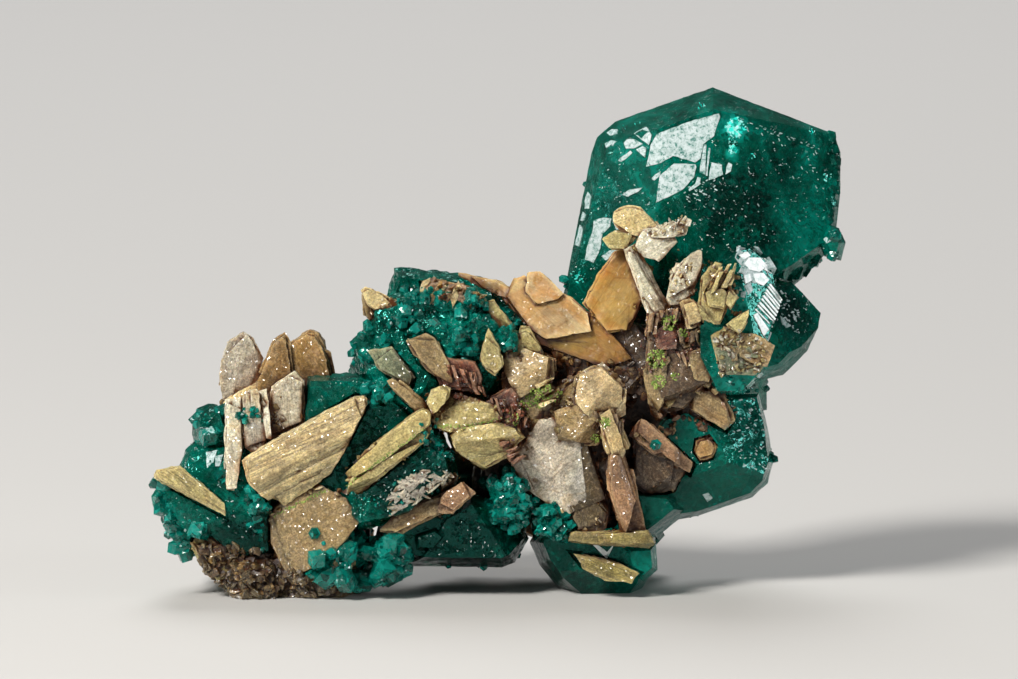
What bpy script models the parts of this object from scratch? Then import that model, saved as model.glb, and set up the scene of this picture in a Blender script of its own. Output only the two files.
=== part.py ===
"""A dioptase specimen: green dioptase crystals grown through a fan of tan tabular blades.

Every crystal is drawn on the grid of the front view. A place on that grid is (across, up), a depth runs
away from the viewer, and the front view looks down on the specimen by VIEW_TILT. All three are in grid
units, and GRID turns them into metres. The specimen stands on z = 0, where its lowest crystals are broken
off flat, with +X to the right of the front view and +Y away from the viewer. Its origin is at the bottom
centre of its box.
"""

from collections import namedtuple
from math import cos, radians, sin

import bmesh
import bpy
from mathutils import Vector

# The driving dimensions
LENGTH = 0.0555
GRID_LENGTH = 69.4
GRID = LENGTH / GRID_LENGTH
VIEW_TILT = radians(7)
GAP = 0.0003 / GRID

# Where the middle of the specimen's box lies on the grid: the model's origin is below it, on z = 0
MIDDLE_ACROSS = -0.10
MIDDLE_DEPTH = 4.045

# Dioptase: hexagonal prisms, each end closed by three rhombohedron faces, steep to the axis
RHOMB_TILT = radians(50.7)
ROUGH_SIZE = 90

GREEN = (0.004, 0.17, 0.12, 1)
TAN = (0.62, 0.46, 0.25, 1)
PALE_TAN = (0.72, 0.62, 0.43, 1)

Block = namedtuple("Block", "outline depth lean front back facets")
Prism = namedtuple("Prism", "centre axis roll radius reach")


def block(outline, depth, front, back, lean=(0, 0), facets=()):
    """A crystal with this outline in the front view. front and back are (inset, rise): how far the flat
    front or back lies inside the outline, and before or behind it. lean is how much deeper the crystal
    lies for each unit across and up. A facet is (angle, lean towards the viewer, place, depth)."""
    return Block(outline, depth, lean, front, back, facets)


def blade(outline, depth, thick, lean=(0, 0), rim=0.22):
    """A tabular crystal: a thin plate whose rim is bevelled on both sides."""
    return Block(outline, depth, lean, (rim, thick / 2), (rim, thick / 2), ())


def prism(centre, axis, radius, reach, roll=0):
    """A dioptase crystal with its middle at (across, up, depth) and its long axis along axis."""
    return Prism(centre, axis, roll, radius, reach)


def to_world(point):
    """Metres from a point in grid units: across, up and depth in the front view."""
    across, up, depth = point
    height = (up - depth * sin(VIEW_TILT)) / cos(VIEW_TILT)
    return Vector((across - MIDDLE_ACROSS, depth - MIDDLE_DEPTH, height)) * GRID


def block_planes(shape, grow):
    """The planes of a block before it leans, as (point, outward normal) in (across, up, depth)."""
    outline = [Vector(corner) for corner in shape.outline]
    turn = sum(a.x * b.y - a.y * b.x for a, b in zip(outline, outline[1:] + outline[:1]))
    planes = []
    for start, end in zip(outline, outline[1:] + outline[:1]):
        along = end - start
        out = Vector((along.y, -along.x)).normalized() * (1 if turn > 0 else -1)
        for side, (inset, rise) in ((-1, shape.front), (1, shape.back)):
            normal = Vector((out.x * rise, out.y * rise, side * inset)).normalized()
            planes.append((Vector((start.x, start.y, 0)) + normal * grow, normal))
    for side, (_, rise) in ((-1, shape.front), (1, shape.back)):
        planes.append((Vector((0, 0, side * (rise + grow))), Vector((0, 0, side))))
    for angle, towards, (across, up), depth in shape.facets:
        turned = radians(angle)
        flat = cos(radians(towards))
        normal = Vector((cos(turned) * flat, sin(turned) * flat, -sin(radians(towards))))
        planes.append((Vector((across, up, depth)) + normal * grow, normal))
    return planes


def prism_planes(shape, grow):
    """The six prism faces and the three faces of each end, as (point, outward normal)."""
    centre = Vector(shape.centre)
    axis = Vector(shape.axis).normalized()
    side = axis.orthogonal().normalized()
    other = axis.cross(side)
    planes = []
    for face in range(6):
        angle = radians(shape.roll + 60 * face)
        normal = side * cos(angle) + other * sin(angle)
        planes.append((centre + normal * (shape.radius + grow), normal))
        # The end faces stand over every other prism edge, turned half a side between the two ends
        angle += radians(30)
        end = 1 if face % 2 else -1
        over = side * cos(angle) + other * sin(angle)
        normal = axis * end * cos(RHOMB_TILT) + over * sin(RHOMB_TILT)
        planes.append((centre + axis * end * shape.reach + normal * grow, normal))
    return planes


def cut(mesh, point, normal):
    """Cuts away what lies outside a plane, and closes the cut with one flat face."""
    geometry = mesh.verts[:] + mesh.edges[:] + mesh.faces[:]
    bmesh.ops.bisect_plane(
        mesh, geom=geometry, plane_co=point, plane_no=normal, dist=1e-6, clear_outer=True
    )
    rim = [edge for edge in mesh.edges if edge.is_boundary]
    if rim:
        bmesh.ops.edgeloop_fill(mesh, edges=rim)


def solid(shape, grow=0.0):
    """A helper object with the crystal's closed mesh, made by cutting a rough block along its faces."""
    mesh = bmesh.new()
    bmesh.ops.create_cube(mesh, size=2 * ROUGH_SIZE)
    leaning = isinstance(shape, Block)
    for point, normal in (block_planes if leaning else prism_planes)(shape, grow):
        cut(mesh, point, normal)
    if leaning:
        middle = sum((Vector(corner) for corner in shape.outline), Vector((0, 0))) / len(shape.outline)
        for vertex in mesh.verts:
            from_middle = vertex.co.xy - middle
            vertex.co.z += shape.depth + from_middle.dot(Vector(shape.lean))
    for vertex in mesh.verts:
        vertex.co = to_world(vertex.co)
    cut(mesh, Vector((0, 0, 0)), Vector((0, 0, -1)))
    bmesh.ops.recalc_face_normals(mesh, faces=mesh.faces)
    if mesh.calc_volume(signed=True) < 0:
        bmesh.ops.reverse_faces(mesh, faces=mesh.faces)
    data = bpy.data.meshes.new("crystal")
    mesh.to_mesh(data)
    mesh.free()
    helper = bpy.data.objects.new("crystal", data)
    bpy.context.scene.collection.objects.link(helper)
    return helper


def combine(base, operation, others):
    """Booleans each of the other helpers into base, and removes them. The crystals are closed and meet at
    shallow angles, where the exact solver leaves open edges and the manifold one does not."""
    for other in others:
        step = base.modifiers.new("step", "BOOLEAN")
        step.operation = operation
        step.solver = "MANIFOLD"
        step.object = other
        graph = bpy.context.evaluated_depsgraph_get()
        data = bpy.data.meshes.new_from_object(base.evaluated_get(graph))
        base.modifiers.remove(step)
        base.data = data
        bpy.data.objects.remove(other)
    return base


def fused(shapes, grow=0.0):
    """One helper object of crystals that have grown into each other."""
    helpers = [solid(shape, grow) for shape in shapes]
    return combine(helpers[0], "UNION", helpers[1:])


def keep_largest_body(obj):
    """Drops the chips that a cut leaves beside the crystal group."""
    mesh = bmesh.new()
    mesh.from_mesh(obj.data)
    left = set(mesh.verts)
    bodies = []
    while left:
        body = set()
        edge_of_search = [left.pop()]
        while edge_of_search:
            vertex = edge_of_search.pop()
            body.add(vertex)
            linked = {edge.other_vert(vertex) for edge in vertex.link_edges} & left
            left -= linked
            edge_of_search.extend(linked)
        bodies.append(body)
    bodies.sort(key=lambda body: sum(f.calc_area() for v in body for f in v.link_faces))
    for body in bodies[:-1]:
        bmesh.ops.delete(mesh, geom=list(body), context="VERTS")
    mesh.to_mesh(obj.data)
    mesh.free()


def material(name, colour, roughness):
    made = bpy.data.materials.new(name)
    made.use_nodes = True
    shader = made.node_tree.nodes["Principled BSDF"]
    shader.inputs["Base Color"].default_value = colour
    shader.inputs["Roughness"].default_value = roughness
    made.diffuse_color = colour
    return made


# The tan blades of the middle and the right side, grown into one mass around a hidden core
def middle_matrix():
    core = [
        block([(-3, 20), (1, 26), (6, 27), (13, 26), (18, 22), (18.6, 13), (14, 7), (5, 7), (-3, 9)],
              5, (2.2, 5.4), (3, 5)),
        block([(13, 26), (19, 28), (22, 25), (20.6, 18), (17, 17), (12, 20)], 2.4, (1, 5), (2, 5)),
    ]
    diagonal = [
        blade([(-16.2, 10.4), (-16, 11.5), (-13.9, 13.8), (-7.6, 18.6), (-6.6, 17.8), (-7, 16.6),
               (-13, 12)], -7.6, 2.2),
        blade([(-15.6, 9.6), (-15.2, 11), (-7.6, 16.6), (-6.6, 16.4), (-7.6, 14.8), (-14.6, 9.6)],
              -7.8, 1.6),
        blade([(-11.3, 21.2), (-10.4, 21.4), (-7.2, 18.9), (-6.6, 17.6), (-7.8, 17.6), (-11, 20.4)],
              -6.8, 1.7, (0.1, 0)),
        blade([(-7.4, 19.1), (-7, 20.2), (-5.6, 20.8), (-4.9, 20.5), (-5.3, 19), (-6.8, 17.6)],
              -7.2, 1.6, (0, 0.1)),
    ]
    front_blocks = [
        block([(-7.4, 18.1), (-5.3, 19.9), (-4.6, 20.1), (-0.6, 18.9), (0.4, 17.3), (-4.8, 15.7),
               (-7, 16.5)], -4.2, (0.2, 2.6), (0.5, 3.8), (0.05, 0.28)),
        block([(-5.4, 15.8), (-4.4, 16.7), (-0.4, 17.3), (1.9, 16.4), (2.7, 15.5), (0.4, 13.4),
               (-1.8, 12.2), (-4.8, 14.2)], -4.2, (0.4, 4), (0.5, 5), (-0.12, 0.1),
              [(-82, 50, (-1, 15.2), -4.0)]),
        block([(-1.4, 19.4), (0.9, 20.6), (2.8, 18.8), (2.6, 15.6), (0, 15.4), (-1.2, 17)],
              -3.2, (0.3, 3), (0.5, 5)),
        block([(0.2, 24.3), (2.2, 24.7), (5.6, 23.4), (5.6, 21.7), (4.8, 20.3), (2, 19.1), (0.2, 20.4)],
              -1.6, (0.3, 3.6), (0.5, 4), (0.1, 0.15), [(120, 66, (2, 23), -3.3)]),
        block([(2, 20.6), (4.8, 21), (6.4, 19.4), (6.2, 16.4), (2.4, 15.8), (1.4, 18.2)],
              -2, (0.4, 3), (0.5, 3), (0.1, 0)),
        block([(5.2, 21.2), (7.6, 21.6), (9.2, 19.8), (8.4, 17), (5, 17)], -1.8, (0.3, 3), (0.5, 3),
              (0, 0.2)),
        block([(7.4, 21.6), (9.9, 23), (12.6, 20.6), (12.6, 17.8), (9.4, 16.6), (7, 19.2)],
              -2.2, (0.4, 3.8), (0.5, 3), (-0.1, 0.15), [(-40, 60, (11, 19.4), -3.6)]),
        block([(6, 24.2), (9.8, 24), (11, 21.4), (7, 20.6)], 0, (0.6, 2.2), (1, 4)),
        blade([(2, 26.8), (2.9, 26.6), (4.2, 24.4), (4, 22.6), (2.4, 22.8), (1.6, 24.6)],
              -2.8, 1.4, (0.2, 0.1)),
    ]
    cream_wall = [
        block([(1, 13.4), (2, 15.9), (3.8, 17.8), (7.6, 18.2), (8.6, 12), (6.6, 8.8), (4, 8.8),
               (1.5, 10.8)], -1.8, (0.5, 4), (0.8, 4), (0.08, 0.06), [(205, 64, (3.4, 12), -3.3)]),
        block([(4.6, 18.2), (9.6, 18.2), (11, 15), (11.4, 9.4), (11.8, 6.4), (9.4, 5.9), (7.3, 6.3),
               (4.6, 11.6)], -0.8, (0.6, 5), (1, 4), (0.1, 0.08), [(170, 70, (7, 12), -5.0)]),
        block([(4.6, 18.6), (8.4, 19.2), (10.8, 17.2), (9.8, 14.6), (5.6, 14.8)],
              -3.6, (0.5, 2.4), (0.8, 4), (0.05, 0.2)),
    ]
    column = [
        block([(10.5, 12.4), (10.9, 14.4), (12.9, 14), (13.9, 9.6), (14.7, 6), (14.3, 5.2), (12.2, 5.5),
               (10.9, 9.4)], -5.6, (0.5, 1.8), (0.5, 3), (0.05, 0.1), [(15, 50, (13.4, 10), -1.4)]),
        block([(9.5, 18.2), (11.2, 18.9), (12.9, 14.4), (12.4, 13.2), (10.7, 13.6)],
              -5.2, (0.4, 1.5), (0.5, 3.6), (0.1, 0.2)),
        block([(13.3, 16.6), (13.9, 17.4), (14.8, 17.1), (19.5, 12.7), (19, 11.7), (15.4, 13.8),
               (13, 15.6)], -3.6, (0.3, 1.1), (0.4, 2.4), (0.15, 0)),
        block([(13.3, 15.6), (15.6, 14.8), (18.9, 12.4), (17.3, 10.2), (14.6, 9.6), (13, 11)],
              -2.0, (0.4, 1), (0.5, 3), (0.1, -0.05)),
        blade([(6.2, 5.2), (6.8, 5.9), (15, 6.2), (15.6, 5.2), (15.2, 4.6), (10, 4.7)], -6.2, 1.7),
    ]
    sheet = [
        blade([(-4.4, 31.6), (-3.3, 32.5), (-1.4, 32.4), (1.6, 31.2), (4, 28), (5, 25), (2.6, 26),
               (-0.6, 28.6)], 1.6, 1.5, (-0.2, 0.25)),
        blade([(-0.6, 30.6), (0.8, 31.8), (3.4, 31.6), (8.6, 29.4), (13.8, 26.6), (14.4, 22), (10, 22),
               (5.6, 24), (2.2, 26.8), (0.2, 29)], -0.4, 2.4, (-0.2, 0.3)),
        blade([(2.4, 29.6), (2.7, 31.9), (4.2, 32.1), (6.5, 29.6), (5.6, 28.6), (3.6, 28.4)],
              -0.4, 1.4, (-0.1, 0.3)),
        block([(8, 25), (10.6, 27), (14.4, 27), (16, 24), (15.2, 20.2), (12.8, 19.4), (9, 21.6)],
              -0.6, (0.5, 3.2), (1, 4), (-0.05, 0.2)),
        block([(8.2, 28.6), (9, 30.4), (10.9, 33), (12, 34.1), (15.8, 32.4), (14.6, 29.6), (11.8, 25.4),
               (10.6, 25.2)], -1.2, (0.3, 0.9), (0.5, 1.8), (0.05, 0.25)),
        block([(12.4, 34.2), (13.6, 34.8), (17, 28), (16.8, 26), (15.4, 26)],
              -3.6, (0.2, 0.7), (0.3, 1.3), (0.1, 0.2)),
    ]
    right = [
        block([(17, 31.2), (18.3, 33.5), (20.3, 34.7), (20.6, 33.6), (20.3, 31), (19.8, 28), (17.6, 26.6),
               (16.6, 28.6)], -4.6, (0.4, 1), (0.5, 1.6), (0.05, 0.1)),
        block([(20.1, 31.6), (21.2, 33.1), (23.4, 32.6), (24, 31), (24.2, 29.8), (22, 26.8),
               (19.6, 27)], -4.0, (0.3, 0.8), (0.5, 2), (0.1, 0.15)),
        block([(18, 28.9), (19.2, 29.4), (20.6, 28.4), (20.2, 26.8), (18.6, 26.4)],
              -5.2, (0.3, 0.8), (0.5, 2.4)),
        block([(14.4, 26.6), (16.8, 28.6), (19.6, 28.8), (21.8, 27), (22.4, 23.6), (20.8, 20),
               (18.8, 18), (15.6, 18.4), (14, 22)], -1.4, (0.9, 3.6), (1.5, 4), (0, 0.05)),
        block([(15, 26.4), (16.6, 27.4), (18.2, 26.2), (18, 24), (15.6, 23.6)], -4.0, (0.5, 1.6), (0.5, 2)),
        block([(18.4, 24.4), (20.6, 25.2), (21.9, 23), (21, 20.4), (19, 20.8)], -3.8, (0.6, 1.6), (0.5, 2)),
        blade([(14.2, 22.6), (16.6, 22.6), (16.2, 18.6), (15.7, 16.5), (15.1, 17)], -4.2, 1.8, (0, -0.06)),
        block([(19, 20.6), (21.5, 20.4), (23, 18.6), (23.5, 17), (22.7, 16), (18.8, 18.2)],
              -2.2, (0.4, 1.8), (0.5, 2.6)),
        block([(19.4, 15.4), (21, 15.8), (21.8, 14.7), (21.4, 13.2), (20, 12.8), (19.2, 14)],
              -1.2, (0.6, 1.6), (0.6, 2)),
        block([(17.6, 19.4), (20, 19), (21, 16.6), (20.2, 14.6), (17.6, 14.2), (16.4, 16.6)],
              0.4, (1, 2.2), (1, 3)),
    ]
    back = [
        blade([(-5, 5), (-6.6, 12), (-2.6, 19), (2, 18), (4, 9), (0, 4)], 10.4, 2.4, (-0.1, -0.1)),
        blade([(3, 12), (1, 19), (4.6, 24.6), (8.4, 24), (9.4, 17), (6.6, 12)], 10.4, 2.2, (0.15, 0.05)),
        blade([(7, 6), (6, 13), (9.4, 18.4), (13.6, 16.8), (13.4, 9), (10, 6)], 10.4, 2.2, (0.1, -0.1)),
    ]
    return core + diagonal + front_blocks + cream_wall + column + sheet + right + back


# The tan blades under the left end, on which the specimen stands
def base_matrix():
    return [
        block([(-30, 3.4), (-29, 4.6), (-26, 4.4), (-17.5, 4), (-13.5, 2.6), (-12.6, 1), (-13.6, -1.6),
               (-25, -1.6), (-28, 0.2)], 0, (0.8, 4.6), (1.5, 9)),
        block([(-26, 3), (-24, 8), (-17, 9.6), (-13, 8), (-12.6, 3), (-16, 0), (-24, -1)],
              2.6, (1.4, 5), (3, 6)),
        block([(-22.8, 7.4), (-21.6, 8.6), (-18, 9.8), (-15.4, 8.6), (-14, 7), (-15.8, 5), (-17.8, 3),
               (-19.5, 1.9), (-21, 1.8), (-22.4, 4.4)], -4.6, (0.8, 2.2), (0.5, 5), (0, 0.12),
              [(200, 60, (-21.4, 6), -1.5)]),
        blade([(-20, 3), (-17.6, 3.2), (-15.6, 1.8), (-16.4, -0.2), (-19.6, -0.6), (-22, 0.2)],
              -4.8, 2),
        blade([(-31, 4.6), (-30.3, 5.7), (-29, 5.6), (-27.2, 4.2), (-26.8, 1.6), (-28, 0.8),
               (-29.8, 2.4)], -5, 2),
        blade([(-28.6, 1.8), (-26.4, 2.8), (-22, 2.6), (-19.6, 1), (-21, -0.6), (-26.2, -0.6)],
              -5.2, 2.2),
        block([(-22.8, 5.8), (-22.2, 6.4), (-15, 6.6), (-13, 4.6), (-14.8, 1), (-21, -0.4)],
              -2.6, (0.6, 2), (1, 4)),
        blade([(-24, 1.6), (-23, 8), (-17, 9.4), (-12.6, 6), (-13.6, 0.6), (-18, -1)],
              9.6, 2.4, (0.05, -0.15)),
    ]


# Blades that stand apart from the two masses, each in its own socket in the dioptase
def single_blades():
    return {
        "long_tan_blade": [
            block([(-25.7, 13.1), (-23.2, 14.8), (-14.4, 19.8), (-13.3, 19.6), (-13.2, 18.6), (-15, 15),
                   (-17, 11.7), (-21.2, 8.8), (-22.7, 8.6), (-25.2, 11)],
                  -7, (0.25, 1.5), (0.3, 1.6), (0, 0.1), [(-62, 60, (-19, 12.6), -1.0)]),
        ],
        "upright_tan_blades": [
            blade([(-28.2, 21.2), (-28, 23.2), (-27.2, 25.2), (-25.7, 26.1), (-25, 25.6), (-23.8, 23.4),
                   (-24.2, 21.4), (-25, 20), (-27.4, 18.4), (-28.2, 19.2)], 0.4, 1.3, (0.1, 0.12)),
            block([(-28.2, 19), (-24.4, 21), (-21, 21), (-20.6, 15), (-26, 15.8), (-28, 18)],
                  -0.6, (0.4, 1.4), (0.4, 2), (0, 0.15)),
            block([(-24.8, 20.4), (-24.2, 22), (-22.7, 25.4), (-21.5, 26.2), (-20.9, 25), (-20.3, 21),
                   (-21.6, 17.6), (-24, 18.4)], -1.2, (0.6, 1.2), (0.4, 1.4), (0.1, 0.15)),
            block([(-21.6, 24.8), (-19.4, 26.3), (-18.3, 26), (-17.2, 24.2),
                   (-16.4, 21), (-17.6, 17), (-21.4, 17)], 0.8, (0.7, 2), (0.6, 2), (0.1, 0.2)),
            blade([(-19.6, 22), (-21.8, 18.4), (-23.2, 14.8), (-22.4, 14), (-19.9, 16.4), (-19.5, 19)],
                  -2.6, 2.4, (0.05, 0.1)),
            blade([(-25.5, 18.9), (-23.8, 19.6), (-23.4, 14.6), (-25.5, 13)], -3.0, 2.2, (0, 0.05)),
            blade([(-27.4, 18.8), (-25.8, 19), (-25.6, 14.6), (-26.2, 10.4), (-27.3, 10.4)],
                  -3.6, 1.8, (0, 0.2)),
        ],
        "left_spear_blade": [
            blade([(-34.7, 11.4), (-34.3, 12.2), (-31.8, 12.7), (-27.5, 9), (-27.2, 7.3), (-30.4, 9.1)],
                  -7.0, 1.3, (-0.1, 0)),
        ],
        "shoulder_blade": [
            blade([(-13.2, 24.1), (-10.8, 24.5), (-8.4, 21.4), (-9, 20.3), (-12.1, 22.3)],
                  -5.2, 1.3, (0.05, 0.05)),
        ],
        "wedge_blade": [
            blade([(-9.5, 25.6), (-7.4, 25.8), (-6.4, 25.2), (-4.8, 22.4), (-4.6, 20.6), (-6.6, 21.6),
                   (-8.2, 23.3)], -5.6, 1.7, (0, 0.05)),
            blade([(-6.8, 23.8), (-2.4, 22.9), (-1.8, 21.4), (-2.2, 20.2), (-5.8, 20.4)], -5.0, 2.6),
        ],
        "saddle_leaf_blade": [
            blade([(-1.3, 26.6), (-0.1, 24.6), (0.4, 22.7), (-0.4, 21.5), (-2.1, 23), (-1.9, 24.2)],
                  -5.6, 1.2, (0, 0.1)),
        ],
        "saddle_ridge_blade": [
            blade([(-1.4, 29.6), (-0.6, 29.2), (1.2, 26.8), (1.1, 26), (0.2, 26.2), (-1.3, 28)],
                  -2.8, 1.0, (0.2, 0)),
        ],
        "saddle_crest_blade": [
            blade([(-8, 31), (-6.5, 31.4), (-3, 30.6), (-1.2, 29.6), (-2.2, 29.2), (-5, 29.8),
                   (-7.8, 30.2)], 0.4, 2.6, (0, 0.2)),
        ],
        "saddle_tip_blade": [
            blade([(-13.9, 30), (-13.1, 30.6), (-12, 30), (-10, 29.3), (-10.2, 28.4), (-12.4, 28.2),
                   (-13.4, 28.8)], -1.2, 1.3, (0.05, 0.1)),
            blade([(-13.8, 29.8), (-12.6, 29.6), (-12.7, 27.3), (-13.1, 26.9), (-13.6, 27.6)],
                  -0.6, 1.2, (0.2, 0)),
        ],
        "crown_petal_blades": [
            blade([(11, 37.2), (12.2, 38.5), (13.2, 38.6), (14.2, 37.8), (15.8, 36.6), (15.2, 34.6),
                   (13, 35.2)], -1.2, 1.2, (0, 0.15)),
            blade([(10.3, 35), (11.4, 35.9), (13, 35.8), (14.2, 35), (13.9, 34), (12.1, 33.8),
                   (10.7, 34.3)], -2.0, 1.4, (0, 0.1)),
            blade([(13.4, 34.5), (14.8, 35.8), (16.7, 36.4), (18.1, 36.2), (17.8, 34.8), (15.8, 33),
                   (14.4, 33.2)], -2.2, 1.3, (-0.05, 0.15)),
            blade([(16.2, 36.2), (17.6, 38), (18.8, 37.6), (19, 36), (17.4, 35)], -1.6, 1.7),
        ],
        "small_leaf_blade": [
            blade([(22.1, 29.1), (22.8, 30.4), (23.7, 29.4), (22.9, 28.2)], -6.9, 1),
        ],
        "striped_crystal_crust": [
            block([(21.6, 25.6), (23, 26.2), (26.7, 24.4), (25.9, 22.2), (24.3, 22.2), (22, 23)],
                  -4.8, (0.4, 1.4), (0.6, 2.4)),
        ],
        "large_leaf_blade": [
            blade([(22.5, 26.8), (24.9, 28.3), (24.6, 27), (23.8, 25.8)], -6.8, 1.1),
        ],
        "foot_blade": [
            blade([(7, 4), (11.4, 3.2), (14, 1.9), (13.3, 0.9), (10.6, 1.2), (8.2, 2.4)], -5.1, 1.3,
                  (0, 0.1)),
        ],
        "lower_tan_blades": [
            blade([(-12.4, 6.2), (-10.2, 8.2), (-5.4, 10), (-5.2, 8.2), (-10, 6)], -5.4, 2, (0, 0.1)),
            blade([(-6, 9.6), (-3.6, 11), (-2.4, 10), (-4.6, 8), (-6.4, 8)], -5.8, 2.2, (0, 0.1)),
        ],
    }


# The dioptase groups: in each, crystals that have grown into one another
def crown_group():
    crown = [
        block([(9.2, 44), (9.8, 45.6), (11.6, 47.2), (21.4, 50.6), (33.6, 45.9), (34.2, 44), (34.2, 40),
               (33.6, 34.8), (30.4, 31.4), (20, 23), (8, 23), (6.4, 29.6)],
              7, (2.2, 6), (4, 6.6), (-0.1, 0.1),
              [(200, 70, (15, 40), -5.0), (20, 62, (29, 40), -3.6), (200, -62, (14, 38), 5.2),
               (-12, -60, (27, 36), 5.4), (80, -55, (20, 48), 4.6)]),
        block([(33, 36.8), (34, 36.4), (34.7, 35), (34.2, 33.2), (32.6, 33.6), (32, 35)],
              3.4, (0.7, 1.8), (0.7, 3)),
    ]
    wings = [
        block([(26, 31.4), (29.2, 31), (32.6, 28), (30.8, 24.1), (28.4, 21.7), (26.4, 21.2), (22, 21),
               (21.6, 31)], 2, (1.2, 3.6), (2.4, 6), (-0.1, 0.05), [(28, 46, (29, 27), -2.2)]),
        block([(21.2, 32.6), (23.1, 34.5), (25.1, 34.8), (27.3, 32.8), (28, 29.3), (26.8, 23.4),
               (26.4, 21.8), (24.4, 19.8), (21.4, 19.6), (19.4, 23.4), (19.4, 28.4)],
              -0.6, (0.6, 5.4), (2, 7), (0, 0.05), [(12, 52, (25.6, 28), -4.8), (-60, 60, (24, 22), -4.9)]),
    ]
    lower_right = [
        block([(20.6, 19.6), (26, 19.8), (26.9, 16.5), (27.5, 12.9), (26.9, 10.8), (25.4, 9.4),
               (21.7, 8.1), (19.9, 7.5), (17, 7), (14, 8), (13, 14), (16, 18)],
              3.4, (1, 5.6), (3, 6), (0.05, 0), [(30, 56, (24, 14), -4.6), (-70, 54, (20, 10.4), -4.6)]),
        block([(12, 11), (17.4, 10.4), (19, 8), (15.7, 5.4), (13, 4), (10.6, 5)],
              1.8, (1.2, 5.4), (2, 6)),
    ]
    foot = [
        block([(3, 4.9), (4, 7), (6, 8.2), (14, 7.6), (15.6, 5.4), (15.6, 2.4), (14.4, 0.4),
               (13, -1.2), (8.8, -1.6), (5.6, 0.6), (4, 2.6)],
              1.6, (1.2, 6), (2, 8), (0, 0), [(-84, 48, (10, 1.6), -5.2), (40, 66, (13.6, 5), -5.4)]),
        block([(12.4, 4.6), (15.6, 4.8), (15.8, 2.2), (14.4, 1), (12.6, 2.2)], -2.8, (0.6, 2.6), (0.6, 2)),
        block([(3.9, 9.4), (5.4, 10.4), (6.8, 8.6), (7.2, 5.6), (6, 4.8), (3.4, 5), (3, 7.4)],
              -2.8, (0.7, 2.8), (0.7, 4)),
        block([(8.2, 6), (9.6, 7.2), (11.4, 7.8), (12, 5.6), (10, 5)], -3, (0.6, 2.4), (0.6, 3)),
    ]
    back = [
        prism((24, 40, 11), (0.35, 0.2, 1), 4.0, 6.4, 10),
        prism((14, 34, 11.4), (-0.4, 0.1, 0.9), 3.8, 6.0, 25),
        prism((22, 22, 8), (0.45, -0.2, 1), 4.2, 7.4, 5),
        prism((20, 14, 8.4), (0.9, 0.2, 0.5), 3.6, 5.8, 50),
        prism((11.5, 6.4, 8.4), (0.2, -0.15, 1), 3.8, 7.4, 40),
        prism((26, 30, 9), (0.9, 0.1, 0.8), 3.0, 5.0, 15),
    ]
    return crown + wings + lower_right + foot + back


def saddle_group():
    return [
        block([(-11.4, 30.2), (-10.7, 32.5), (-7.4, 32.3), (-2, 31.7), (0, 30.4), (2.2, 28.2),
               (4.6, 25.4), (3, 20), (-8, 20), (-11.6, 26)], 5.6, (1, 4.2), (3, 5), (0, 0.1)),
        block([(-12.9, 28.4), (-12.2, 29.4), (-9, 30.2), (-4, 30.2), (0, 28.2), (1.5, 26), (1.2, 22.6),
               (-0.6, 19.4), (-4, 17), (-9, 16.4), (-12.6, 19), (-14.1, 21.7), (-14.1, 23.6)],
              -0.2, (1.5, 5.2), (2, 6), (0, 0.1),
              [(-35, 64, (-5.6, 21.4), -4.7), (110, 56, (-6, 27.4), -4.3), (185, 58, (-11.6, 23), -4.3)]),
        block([(-14.9, 25), (-13.9, 26.2), (-12.2, 26.6), (-12.2, 22.4), (-13.8, 22.8), (-14.5, 24)],
              -1.4, (0.5, 2), (0.6, 3)),
        block([(-0.8, 26), (0.8, 26.8), (2.1, 26), (2.3, 24.4), (0.6, 23.4), (-0.6, 24)],
              -3, (0.5, 1.6), (0.5, 2)),
        block([(-11, 29.6), (-7, 30.9), (-2.4, 30.5), (-0.4, 29), (-3, 27.4), (-10, 27.4)],
              -1.6, (0.8, 2.6), (0.6, 2)),
        block([(-13.2, 20), (-12.4, 21), (-10.8, 20.8), (-10.5, 19.4), (-11.6, 18.8), (-12.8, 19)],
              -4.8, (0.4, 1.6), (0.4, 2)),
        prism((-6.6, 24.6, 9.8), (-0.4, 0.3, 1), 3.8, 5.4, 20),
        prism((-11.6, 21.4, 6.4), (-1, 0.2, 0.7), 3.2, 4.6, 0),
    ]


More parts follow.
